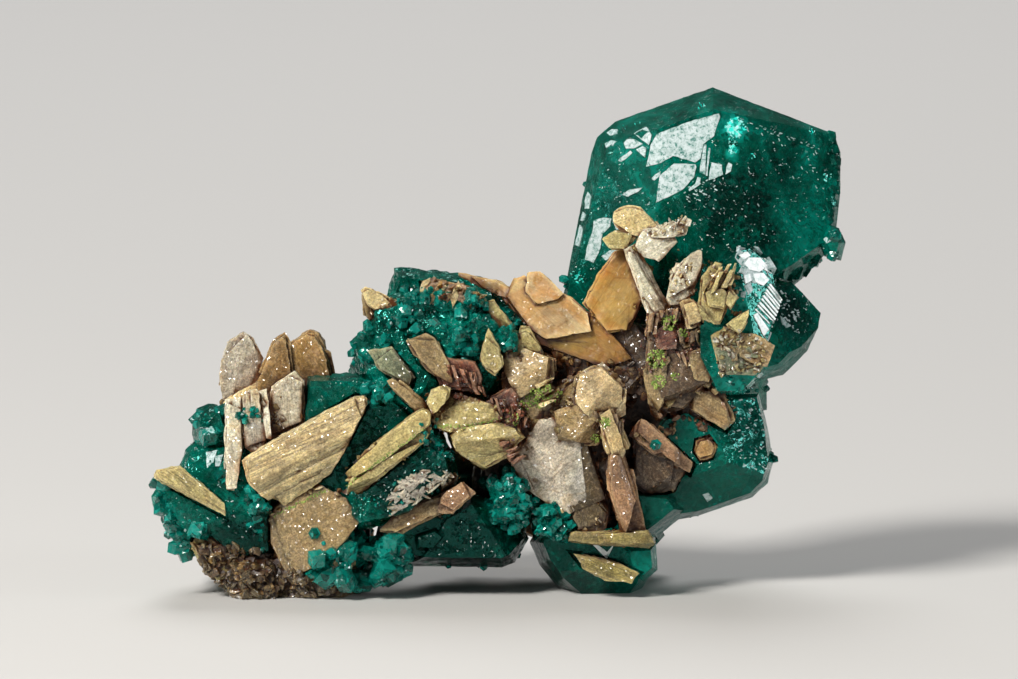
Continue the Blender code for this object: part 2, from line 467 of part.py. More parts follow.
def left_group():
    tall = [
        block([(-20.6, 10), (-19.6, 21.9), (-13.6, 21.9), (-8, 18.4), (-5.6, 15), (-7, 11), (-12, 8),
               (-20, 8)], -0.2, (0.8, 5.6), (2, 5), (0, 0.06), [(-20, 70, (-10, 16), -5.4)]),
        block([(-27.6, 19.3), (-20.6, 19.3), (-20, 9), (-27.6, 9)], 0.2, (0.8, 3.4), (1, 4), (0, 0.1)),
    ]
    front = [
        block([(-17.2, 9.6), (-16.4, 11.2), (-9, 15.6), (-6, 16.6), (-5, 15.6), (-4.1, 11.4), (-8.8, 7.4),
               (-14.3, 6)], -3.4, (0.9, 4.2), (1.5, 5), (0, 0.1),
              [(165, 48, (-14.4, 9), -3.4), (-60, 70, (-8, 10.4), -4.1)]),
        block([(-16.6, 9.4), (-14.4, 9), (-13.4, 7), (-14.4, 6), (-16.4, 7.6)], -3.6, (0.5, 3), (0.6, 3)),
    ]
    end = [
        block([(-30.9, 17), (-30.3, 18.3), (-29.2, 18.8), (-27.3, 18.7), (-26, 14), (-30.6, 13)],
              -1.4, (0.9, 3), (1.4, 4)),
        block([(-31.6, 14.2), (-30.8, 15), (-25, 15.6), (-22.6, 10), (-31.2, 9.6), (-32.3, 12)],
              -1.8, (1, 3.8), (1.6, 5), (-0.03, 0.08), [(150, 60, (-29.4, 13.4), -3.3)]),
        block([(-34.6, 11.2), (-33, 12), (-25.4, 12), (-22.5, 9.8), (-22.4, 3.6), (-27.3, 2.3),
               (-30.2, 4.2), (-33, 6.4), (-34.2, 9)],
              -1.8, (1, 4.8), (2, 5), (-0.02, 0.04),
              [(-115, 58, (-27.6, 5.4), -4.3), (30, 66, (-24.4, 9), -4.4), (-10, 62, (-23.8, 6), -4.2)]),
        block([(-34.9, 9.6), (-34.2, 10.6), (-32.4, 10.4), (-31.6, 8.4), (-33.4, 7.4), (-34.6, 8.4)],
              -3.4, (0.5, 1.8), (0.6, 3)),
        block([(-33.8, 7.8), (-32.8, 8.6), (-30.6, 7.4), (-30, 4.4), (-31.8, 3.9), (-32.8, 5.6)],
              -2.4, (0.7, 2.6), (1, 4)),
        block([(-25.3, 9.6), (-24.2, 10.7), (-22.9, 9.9), (-22.7, 8), (-24.4, 7.2), (-25.2, 8.2)],
              -6.2, (0.4, 1), (0.5, 3)),
    ]
    back = [
        prism((-27, 10, 4.4), (-0.8, 0.25, 0.8), 4.0, 6.2, 12),
        prism((-19.4, 14, 6.6), (-0.2, 0.4, 1), 3.8, 5.6, 33),
        prism((-13, 14.4, 6), (0.7, 0.3, 0.6), 3.6, 5.4, 50),
        prism((-29.4, 6.8, 2), (-1, -0.1, 0.7), 3.0, 4.4, 0),
    ]
    return tall + front + end + back


def bottom_group():
    return [
        block([(-9.2, 2.8), (-6, 8), (-3, 9.8), (1.4, 8.2), (2.9, 5.3), (1.5, 2.9), (0.2, 2.4),
               (-8.6, 2.5)], 0, (1, 5.4), (2, 5), (0, 0.05), [(34, 42, (0.6, 5), -4.6)]),
        block([(-13, 3.6), (-12, 7.4), (-6, 9.8), (-3, 9), (-3, 4), (-8, 2.8)], -0.2, (0.8, 4.4), (2, 5)),
        block([(-1.4, 10.7), (1, 12.1), (2.2, 11), (3.7, 9), (3.0, 7), (1.6, 5.8), (0, 7.4)],
              -3.4, (0.9, 2.8), (0.8, 4)),
        block([(-8.8, 5.9), (-6.4, 6.7), (-5, 5.6), (-6.4, 3.8), (-8.6, 4)], -3.8, (0.6, 2), (0.6, 3)),
        block([(-13.3, 4.3), (-12.4, 5.0), (-10, 5.4), (-9, 3.4), (-10.8, 2.2), (-13, 2.4)],
              -3.6, (0.6, 2.2), (0.6, 3.4)),
        block([(-12.8, 2.8), (-11.8, 3.2), (-10, 3), (-9.8, 1.2), (-11.2, 0.4), (-12.6, 1)],
              -3.4, (0.6, 2), (0.6, 3)),
        prism((-4, 8, 6), (1, 0.2, 0.2), 3.4, 6, 10),
    ]


# Small dioptase crystals that sit alone on the tan blades
def single_crystals():
    return {
        "base_dioptase": [
            block([(-17.3, 2.9), (-16.2, 4.6), (-14.9, 4.9), (-14.3, 3.6), (-15.4, 1.6), (-16.6, 1.2)],
                  -6.4, (0.4, 1), (0.4, 1)),
        ],
    }


def build():
    for old in list(bpy.data.objects):
        bpy.data.objects.remove(old)
    green = material("dioptase", GREEN, 0.12)
    tan = material("tan_blades", TAN, 0.55)
    pale = material("pale_blades", PALE_TAN, 0.5)

    # Where two crystals of different nodes meet, the one that comes first keeps its shape
    order = [(name, shapes, pale) for name, shapes in single_blades().items()]
    order += [(name, shapes, green) for name, shapes in single_crystals().items()]
    order += [
        ("middle_blade_matrix", middle_matrix(), tan),
        ("base_blade_matrix", base_matrix(), tan),
        ("crown_dioptase_group", crown_group(), green),
        ("saddle_dioptase_group", saddle_group(), green),
        ("left_dioptase_group", left_group(), green),
        ("bottom_dioptase_group", bottom_group(), green),
    ]
    earlier = []
    for name, shapes, finish in order:
        crystals = fused(shapes)
        crystals.name = name
        crystals.data.name = name
        combine(crystals, "DIFFERENCE", [solid(shape, GAP) for shape in earlier])
        keep_largest_body(crystals)
        crystals.data.materials.clear()
        crystals.data.materials.append(finish)
        earlier += shapes


if __name__ == "__main__":
    build()
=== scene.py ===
"""A dioptase specimen: emerald-green crystals grown through cream, honey and brown tabular blades.

Each crystal group and blade is dressed over its solid from the frame: broken and grown surfaces, growth
plates, sugary druse, and the rusty and lime-green crusts between the blades.
"""

import random
from math import cos, exp, floor, hypot, pi, radians, sin

import bmesh
import bpy
from mathutils import Matrix, Vector, noise
from mathutils.bvhtree import BVHTree


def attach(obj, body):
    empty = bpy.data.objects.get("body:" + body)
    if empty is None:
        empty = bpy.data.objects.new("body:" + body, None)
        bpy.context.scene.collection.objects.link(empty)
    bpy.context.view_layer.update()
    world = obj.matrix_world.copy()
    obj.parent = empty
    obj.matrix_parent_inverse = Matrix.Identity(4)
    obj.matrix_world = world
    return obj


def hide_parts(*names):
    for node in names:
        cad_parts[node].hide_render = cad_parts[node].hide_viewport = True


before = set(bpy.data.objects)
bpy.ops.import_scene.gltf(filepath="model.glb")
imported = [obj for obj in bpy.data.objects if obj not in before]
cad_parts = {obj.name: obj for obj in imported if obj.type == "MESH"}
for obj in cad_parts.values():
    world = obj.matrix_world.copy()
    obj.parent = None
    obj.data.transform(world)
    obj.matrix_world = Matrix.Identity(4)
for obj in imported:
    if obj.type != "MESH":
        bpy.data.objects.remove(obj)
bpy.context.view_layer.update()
# Without a seed the offsets of noise_vector follow the clock. With this one the worn rims of the
# blades stay nearest to the box of the solids.
NOISE_SEED = 9
noise.seed_set(NOISE_SEED)

# The specimen stands on a pale table and is seen from its front, a little from above, through a long lens.
# A place in this view is (across, up), counted in GRID from the foot of the specimen, and a depth runs away
# from the camera.
GRID = 0.0555 / 69.4
VIEW_TILT = radians(7)
MIDDLE_ACROSS = -0.10
MIDDLE_DEPTH = 4.045
FRAME_WIDTH = 101.8 * GRID
CAMERA_DISTANCE = 0.9


def place(across, up, depth):
    height = (up - depth * sin(VIEW_TILT)) / cos(VIEW_TILT)
    return Vector((across - MIDDLE_ACROSS, depth - MIDDLE_DEPTH, height)) * GRID


def view_place(spot):
    """Where a point of the frame lies in the view: the other way round from place."""
    depth = spot.y / GRID + MIDDLE_DEPTH
    up = spot.z / GRID * cos(VIEW_TILT) + depth * sin(VIEW_TILT)
    return spot.x / GRID + MIDDLE_ACROSS, up, depth


def along_and_side(degrees):
    """The unit vectors along a direction in the view, and at its side."""
    turn = radians(degrees)
    return Vector((cos(turn), sin(turn))), Vector((-sin(turn), cos(turn)))


def sides(outline):
    """Every corner of an outline with the next one."""
    return list(zip(outline, outline[1:] + outline[:1]))


def drawn_size(sizes, draw, unit=1):
    """A size from the least to the most, where small ones come as often as large ones."""
    least, most = sizes
    return unit * least * (most / least) ** draw.random()


def any_way(draw):
    return Vector([draw.uniform(-1, 1) for _ in range(3)])


def tumbled(direction, lean, draw):
    """A turn that takes Z to about this direction, and any way round it."""
    tilted = direction + lean * any_way(draw)
    spin = Matrix.Rotation(draw.uniform(0, 2 * pi), 4, "Z")
    return tilted.to_track_quat("Z", "Y").to_matrix().to_4x4() @ spin


camera_data = bpy.data.cameras.new("camera")
camera_data.lens = camera_data.sensor_width * CAMERA_DISTANCE / FRAME_WIDTH
camera_data.clip_start = 0.01
camera = bpy.data.objects.new("camera", camera_data)
camera.location = place(0.9, 25.25, -2) + CAMERA_DISTANCE * Vector((0, -cos(VIEW_TILT), sin(VIEW_TILT)))
camera.rotation_euler = (radians(90) - VIEW_TILT, 0, 0)
bpy.context.scene.collection.objects.link(camera)
bpy.context.scene.camera = camera


def softbox(name, place_at, size, power, colour=(1, 1, 1), middle=(0, 0, 0.018)):
    """A square soft light at a place, in metres from the middle of what it lights."""
    light = bpy.data.lights.new(name, "AREA")
    light.shape = "SQUARE"
    light.size = size
    light.energy = power
    light.color = colour
    lamp = bpy.data.objects.new(name, light)
    lamp.location = Vector(middle) + Vector(place_at)
    lamp.rotation_mode = "QUATERNION"
    lamp.rotation_quaternion = Vector(place_at).to_track_quat("Z", "Y")
    bpy.context.scene.collection.objects.link(lamp)


softbox("key_light", (-0.30, -0.37, 0.41), 0.16, 4.9, (1, 0.97, 0.92))
softbox("left_light", (-0.48, -0.36, 0.06), 0.12, 0.6)
softbox("right_light", (0.58, -0.14, 0.09), 0.12, 0.8, (0.95, 0.98, 1))
softbox("back_light", (-0.06, 0.27, 0.54), 0.20, 0.9)
softbox("table_light", (0, 0.10, 0.60), 0.40, 3.2, (1, 1, 1), (0, 0.55, 0))
bpy.data.objects["table_light"].visible_glossy = False

world = bpy.data.worlds.new("studio")
world.use_nodes = True
world.node_tree.nodes["Background"].inputs["Color"].default_value = (0.80, 0.82, 0.85, 1)
world.node_tree.nodes["Background"].inputs["Strength"].default_value = 0.09
bpy.context.scene.world = world
bpy.context.scene.view_settings.view_transform = "Standard"


# Every finish is built from the same few steps, so a small net of nodes is made by name
class Finish:
    """A material whose nodes are added one at a time, all read from the place on the specimen."""

    def __init__(self, name):
        self.material = bpy.data.materials.new(name)
        self.material.use_nodes = True
        self.tree = self.material.node_tree
        self.shader = self.tree.nodes["Principled BSDF"]
        self.place = self.tree.nodes.new("ShaderNodeTexCoord").outputs["Object"]

    def node(self, kind, settings=(), **inputs):
        made = self.tree.nodes.new(kind)
        for name, value in dict(settings).items():
            setattr(made, name, value)
        for name, value in inputs.items():
            self.feed(made.inputs[name.replace("_", " ")], value)
        return made

    def feed(self, socket, value):
        if isinstance(value, bpy.types.NodeSocket):
            self.tree.links.new(value, socket)
        else:
            socket.default_value = value

    def cloud(self, size, detail=4, rough=0.55, place=None, warp=0.0):
        """Soft noise whose lumps are about size metres wide."""
        made = self.node("ShaderNodeTexNoise", Vector=place or self.place, Scale=1 / size, Detail=detail,
                         Roughness=rough, Distortion=warp)
        return made.outputs["Fac"]

    def cells(self, size, output="Color", feature="F1", place=None):
        made = self.node("ShaderNodeTexVoronoi", {"feature": feature}, Vector=place or self.place,
                         Scale=1 / size)
        return made.outputs[output]

    def ramp(self, value, *stops):
        """Colours at places from 0 to 1; a stop is (place, (r, g, b)) or (place, grey)."""
        made = self.node("ShaderNodeValToRGB", Fac=value)
        ramp = made.color_ramp
        while len(ramp.elements) < len(stops):
            ramp.elements.new(0.5)
        for element, (at, colour) in zip(ramp.elements, stops):
            element.position = at
            element.color = (*(colour if isinstance(colour, tuple) else (colour,) * 3), 1)
        return made.outputs["Color"]

    def mix(self, share, first, second, blend="MIX"):
        made = self.node("ShaderNodeMix", {"data_type": "RGBA", "blend_type": blend})
        self.feed(made.inputs["Factor"], share)
        for socket, value in ((made.inputs[6], first), (made.inputs[7], second)):
            self.feed(socket, (*value, 1) if isinstance(value, tuple) and len(value) == 3 else value)
        return made.outputs[2]

    def bump(self, height, depth, strength=1.0, under=None):
        made = self.node("ShaderNodeBump", Height=height, Distance=depth, Strength=strength)
        if under:
            self.feed(made.inputs["Normal"], under)
        return made.outputs["Normal"]

    def faceted(self, size, lean, under=None):
        """A normal that leans a different way in each tiny cell, as on sugary or etched crystal."""
        tilt = self.node("ShaderNodeVectorMath", {"operation": "SUBTRACT"})
        self.feed(tilt.inputs[0], self.cells(size))
        tilt.inputs[1].default_value = (0.5, 0.5, 0.5)
        scaled = self.node("ShaderNodeVectorMath", {"operation": "SCALE"}, Scale=lean)
        self.feed(scaled.inputs[0], tilt.outputs[0])
        leaning = self.node("ShaderNodeVectorMath", {"operation": "ADD"})
        self.feed(leaning.inputs[0], under or self.node("ShaderNodeNewGeometry").outputs["Normal"])
        self.feed(leaning.inputs[1], scaled.outputs[0])
        unit = self.node("ShaderNodeVectorMath", {"operation": "NORMALIZE"})
        self.feed(unit.inputs[0], leaning.outputs[0])
        return unit.outputs[0]

    def point_value(self, name, output="Fac"):
        """What the points of the mesh carry under this name."""
        return self.node("ShaderNodeAttribute", {"attribute_name": name}).outputs[output]

    def scaled(self, value, low, high):
        """A value from 0 to 1 taken to between low and high."""
        made = self.node("ShaderNodeMapRange")
        for socket, number in zip(made.inputs, (value, 0.0, 1.0, low, high)):
            self.feed(socket, number)
        return made.outputs["Result"]

    def tint_depth(self, density):
        """Light turns greener on its way through, and is gone after a few times 1 / density metres."""
        absorption = self.node("ShaderNodeVolumeAbsorption", Color=(0.03, 0.80, 0.66, 1), Density=density)
        self.feed(self.tree.nodes["Material Output"].inputs["Volume"], absorption.outputs[0])

    def set(self, **values):
        for name, value in values.items():
            if isinstance(value, tuple) and len(value) == 3:
                value = (*value, 1)
            self.feed(self.shader.inputs[name.replace("_", " ")], value)


floor_mesh = bmesh.new()
bmesh.ops.create_grid(floor_mesh, x_segments=1, y_segments=1, size=15)
floor_data = bpy.data.meshes.new("table_top")
floor_mesh.to_mesh(floor_data)
floor_mesh.free()
table_top = bpy.data.objects.new("table_top", floor_data)
bpy.context.scene.collection.objects.link(table_top)
paper = Finish("pale_paper")
paper.set(Base_Color=(0.56, 0.55, 0.535), Roughness=0.9)
floor_data.materials.append(paper.material)


# The dioptase groups: glassy emerald-green prisms, clear in their thin edges and nearly black in their
# depth, with veils of tiny cracks inside whose bright mottles are partly painted light. They grew first, and
# the tan blades grew against and through them. SKIN_LIFT, STEP_WIDTH and CRUMB_WIDTH are in metres.
DEEP_GREEN = (0.000, 0.020, 0.0135)
EMERALD = (0.000, 0.115, 0.078)
TEAL = (0.000, 0.29, 0.215)
BRIGHT_TEAL = (0.02, 0.70, 0.58)
SKIN_LIFT = 0.00002
STEP_WIDTH = 0.0016
CRUMB_WIDTH = 0.0006
# how deep behind the front, in GRID, a crystal gets no more painted light
PAINTED_LIGHT_DEPTH = 6
# Painted light and shade in the crystals' colour, standing in for light through thin or cracked parts:
# (across, up, reach, strength) in the view, and below 0 painted shade where it is deep and dark
PAINTED_LIGHT_SPOTS = [
    (23.6, 46.4, 1.2, 0.75), (23.3, 43.9, 0.6, 0.6), (13, 43, 7, 0.09), (11, 34, 4, 0.06),
    (25, 37.5, 4.5, -0.16),
    (31, 42, 5, 0.04), (22.5, 39.5, 3, -0.12), (24.5, 21, 3, 0.22), (27.5, 25.5, 1.8, 0.14),
    (24, 28.5, 2, 0.14),
    (22, 48.6, 2.4, 0.06), (33, 43, 2, 0.10), (31, 35, 2.4, 0.05),
    (-4, 26.5, 5, 0.10), (-8.4, 26.8, 2.2, -0.1), (-11.4, 19.8, 1.4, 0.3), (0.8, 9.6, 3, 0.20),
    (11.6, 7, 2, 0.2),
    (5, 8, 2.5, 0.12), (-25.4, 9, 2.2, 0.2), (-25, 5, 4, -0.22), (-28.6, 14.8, 2.4, -0.06),
    (-10, 9, 5, -0.14),
    (-4, 4, 6, -0.24), (3, 3, 4, -0.14), (9, 3, 4, -0.18), (-9, 12, 4, -0.08),
    (-13, 17, 4, -0.08), (-16, 20, 3, 0.05), (-34, 8, 2, 0.2), (-12.4, 3.6, 3.4, 0.25),
    (26, 14, 4, 0.02), (30, 28, 3, -0.08), (-7.8, 17, 2, 0.1), (14, 3, 3, 0.08),
]


def merged(node):
    """The solid's faces as one connected surface."""
    mesh = bmesh.new()
    mesh.from_mesh(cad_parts[node].data)
    bmesh.ops.remove_doubles(mesh, verts=mesh.verts, dist=1e-6)
    bmesh.ops.dissolve_limit(mesh, angle_limit=radians(0.3), verts=mesh.verts, edges=mesh.edges)
    bmesh.ops.triangulate(mesh, faces=mesh.faces)
    return mesh


def split_fine(mesh, longest):
    """Splits edges until none is longer than this."""
    for _ in range(8):
        long_edges = [edge for edge in mesh.edges if edge.calc_length() > longest]
        if not long_edges:
            break
        bmesh.ops.subdivide_edges(mesh, edges=long_edges, cuts=1)
        bmesh.ops.triangulate(mesh, faces=[face for face in mesh.faces if len(face.verts) > 3])


def finished(mesh, name, finish, smooth=False):
    """The piece made from this mesh, riding on the specimen."""
    data = bpy.data.meshes.new(name)
    mesh.to_mesh(data)
    mesh.free()
    for face in data.polygons:
        face.use_smooth = smooth
    data.materials.append(finish.material)
    piece = bpy.data.objects.new(name, data)
    bpy.context.scene.collection.objects.link(piece)
    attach(piece, "root")
    return piece


def take_in(mesh, made):
    """Adds a mesh to another one and frees it."""
    data = bpy.data.meshes.new("part")
    made.to_mesh(data)
    made.free()
    mesh.from_mesh(data)
    bpy.data.meshes.remove(data)


def keep(piece, name, values, kind="FLOAT", field="value"):
    """Keeps something on every point of a piece, for its finish to read."""
    made = piece.data.attributes.new(name=name, type=kind, domain="POINT")
    made.data.foreach_set(field, values)


def terraces(point, size, height, layers):
    """Growth steps: the surface rises in flat layers whose rims wander."""
    wave = noise.noise(point / size) + 0.5 * noise.noise(point / size * 2.3)
    return height * floor((wave + 1.5) / 3 * layers) / layers


def grow(mesh, step_height, crumb_height):
    """Growth steps with crumbs on them, about as much above the solid's faces as below."""
    mesh.normal_update()
    moves = []
    for vertex in mesh.verts:
        rise = SKIN_LIFT + terraces(vertex.co, STEP_WIDTH, step_height, 7) - step_height / 2
        rise += crumb_height * noise.noise(vertex.co / CRUMB_WIDTH)
        moves.append((vertex, vertex.normal * rise))
    for vertex, move in moves:
        vertex.co += move
        vertex.co.z = max(vertex.co.z, 0)


dioptase = Finish("dioptase")
# the bright mottles of the veils are partly painted light of reflections inside the cracks
veil_and_painted_light = dioptase.cloud(0.0050, 8, 0.60, warp=1.2)
wisp_and_painted_light = dioptase.cloud(0.0011, 6, 0.68, warp=2.0)
inner_light = dioptase.node("ShaderNodeMath", {"operation": "ADD"})
dioptase.feed(inner_light.inputs[0], dioptase.mix(0.42, veil_and_painted_light, wisp_and_painted_light))
# painted light: the glow kept on the points, broken into tiny cells, brightens the green
painted_glitter = dioptase.mix(1.0, dioptase.point_value("inner_light"),
                       dioptase.scaled(dioptase.cells(0.00035), 0.1, 1.8), "MULTIPLY")
dioptase.feed(inner_light.inputs[1], painted_glitter)
green = dioptase.ramp(inner_light.outputs[0], (0.36, DEEP_GREEN), (0.50, EMERALD), (0.64, TEAL),
                      (0.92, BRIGHT_TEAL))
sugar_lean = dioptase.scaled(dioptase.point_value("sugar"), 0.04, 0.45)
etching = dioptase.bump(dioptase.cloud(0.0009, 6, 0.6), 0.00003, 0.4)
dioptase.set(Base_Color=green, Roughness=0.10, IOR=1.67, Specular_IOR_Level=0.05, Transmission_Weight=0.5,
             Specular_Tint=(0.18, 0.90, 0.78),
             Normal=dioptase.faceted(0.00018, sugar_lean, dioptase.faceted(0.0006, sugar_lean, etching)),
             Coat_Weight=0.16, Coat_Roughness=0.05, Coat_Normal=dioptase.faceted(0.00012, 1.1))
dioptase.tint_depth(420.0)

crystal_groups = {
    # node: (name, longest edge, height of the growth steps, height of the crumbs, how sugary)
    "crown_dioptase_group": ("crown_crystals", 0.0005, 0.00007, 0.00003, 0.12),
    "saddle_dioptase_group": ("saddle_crystals", 0.0004, 0.00032, 0.00018, 0.7),
    "left_dioptase_group": ("left_crystals", 0.0004, 0.00020, 0.00010, 0.5),
    "bottom_dioptase_group": ("bottom_crystals", 0.0005, 0.00007, 0.00004, 0.2),
    "base_dioptase": ("base_crystal", 0.0003, 0.00006, 0.00004, 0.3),
}


def paint_inner_light(piece, sugar):
    """Keeps on every point the painted light and shade of the crystal's colour there, and how sugary it is.
    """
    glow = []
    for vertex in piece.data.vertices:
        across, up, depth = view_place(vertex.co)
        front = min(1, max(0, 1 - depth / PAINTED_LIGHT_DEPTH))
        glow.append(front * sum(strength * exp(-((across - x) ** 2 + (up - y) ** 2) / reach ** 2)
                                for x, y, reach, strength in PAINTED_LIGHT_SPOTS))
    keep(piece, "inner_light", glow)
    keep(piece, "sugar", [sugar] * len(glow))


skins = {}
for node, (name, edge, steps, crumb, sugar) in crystal_groups.items():
    mesh = merged(node)
    split_fine(mesh, edge)
    grow(mesh, steps, crumb)
    piece = finished(mesh, name, dioptase)
    paint_inner_light(piece, sugar)
    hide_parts(node)
    skins[name] = piece


# The tan blades: tabular crystals that grew in thin flat layers, each layer a little smaller than the one
# under it, so that their edges are stepped and ribbed. Fresh ones are cream and waxy, and iron has stained
# the others honey, brown or rusty; in places the dark brown and umber are also painted shade.
STAINS = {
    "white": (0.47, 0.41, 0.315),
    "pale": (0.62, 0.55, 0.40),
    "cream": (0.58, 0.43, 0.20),
    "straw": (0.41, 0.33, 0.125),
    "tan": (0.27, 0.185, 0.075),
    "honey": (0.27, 0.155, 0.045),
    "amber": (0.32, 0.185, 0.040),
    "pearl": (0.42, 0.30, 0.135),
    "buff": (0.42, 0.31, 0.15),
    "orange": (0.42, 0.265, 0.070),
    "pink": (0.30, 0.165, 0.08),
    "brown": (0.090, 0.048, 0.018),
    "rust": (0.17, 0.040, 0.015),
    "umber": (0.105, 0.070, 0.026),
    "grey": (0.20, 0.23, 0.13),
    "olive": (0.24, 0.19, 0.05),
}
# All in GRID: how far a plate's flat sides lie inside its outline, the shortest rim that chips, how far a
# rim is worn and how wide that band is
LAYER_RIM = 0.22
LONG_RIM = 1.2
RIM_WEAR = 0.16
WORN_WIDTH = 0.35
# A blade before this depth is seen in the photograph, so it is split finer and has a broken corner
SEEN_DEPTH = 1
SEEN_EDGE, HIDDEN_EDGE = 0.7, 1.1


def plate(stain, along, outline, depth, thick, lean=(0, 0), layers=3):
    """A thin tabular blade. along is the direction of its ribs in the view, in degrees."""
    half = (LAYER_RIM, thick / 2)
    return stain, along, outline, depth, half, half, lean, (), layers


def chunk(stain, along, outline, depth, front, back, lean=(0, 0), facets=(), layers=5):
    """A thick blade: front and back say how far each flat side lies inside its outline, and before or
    behind it. A facet is (angle, lean towards the camera, place, depth)."""
    return stain, along, outline, depth, front, back, lean, facets, layers


def cut(mesh, point, normal):
    """Cleaves away what lies outside a plane."""
    everything = mesh.verts[:] + mesh.edges[:] + mesh.faces[:]
    bmesh.ops.bisect_plane(mesh, geom=everything, plane_co=point, plane_no=normal, dist=1e-5,
                           clear_outer=True)
    rim = [edge for edge in mesh.edges if edge.is_boundary]
    if rim:
        bmesh.ops.edgeloop_fill(mesh, edges=rim)


def layer(outline, inset, near, far, facets, wander, draw, chipped):
    """One growth layer as a flat prism: its rim is drawn in by about inset, a little askew."""
    mesh = bmesh.new()
    bmesh.ops.create_cube(mesh, size=160)
    corners = [Vector(corner) for corner in outline]
    turn = sum(a.x * b.y - a.y * b.x for a, b in sides(corners))

    def outwards(start, end):
        run = end - start
        return Vector((run.y, -run.x)).normalized() * (1 if turn > 0 else -1)

    def cleave(spot, out, askew, lean):
        normal = Vector((out.x - askew * out.y, out.y + askew * out.x, lean))
        cut(mesh, Vector((*spot, (near + far) / 2)), normal.normalized())

    for start, end in sides(corners):
        out = outwards(start, end)
        middle = (start + end) / 2 - out * (inset + draw.uniform(-wander, wander))
        cleave(middle, out, draw.uniform(-0.05, 0.05), draw.uniform(-0.12, 0.12))
    # Corners break away, a different piece of each layer
    centre = sum(corners, Vector((0, 0))) / len(corners)
    for corner in draw.sample(corners, 3):
        out, reach = (corner - centre).normalized(), (corner - centre).length
        askew, lean = draw.uniform(-0.9, 0.9), draw.uniform(-0.4, 0.4)
        lost = inset + draw.uniform(0, 0.03 + 0.12 * chipped) * reach
        cleave(centre + out * (reach - lost), out, askew, lean)
    # and the longer rims chip off along parts of their length
    for start, end in sides(corners):
        if (end - start).length > LONG_RIM and draw.random() < chipped:
            out = outwards(start, end)
            askew = draw.choice((-1, 1)) * draw.uniform(0.06, 0.22)
            middle = start.lerp(end, draw.uniform(0.25, 0.75)) - out * (inset + draw.uniform(0, 0.10))
            cleave(middle, out, askew, draw.uniform(-0.5, 0.2))
    cut(mesh, Vector((0, 0, near)), Vector((0, 0, -1)))
    cut(mesh, Vector((0, 0, far)), Vector((0, 0, 1)))
    for angle, towards, (across, up), depth in facets:
        turned, flat = radians(angle), cos(radians(towards))
        normal = Vector((cos(turned) * flat, sin(turned) * flat, -sin(radians(towards))))
        cut(mesh, Vector((across, up, depth)) - normal * draw.uniform(0, 2 * wander), normal)
    return mesh


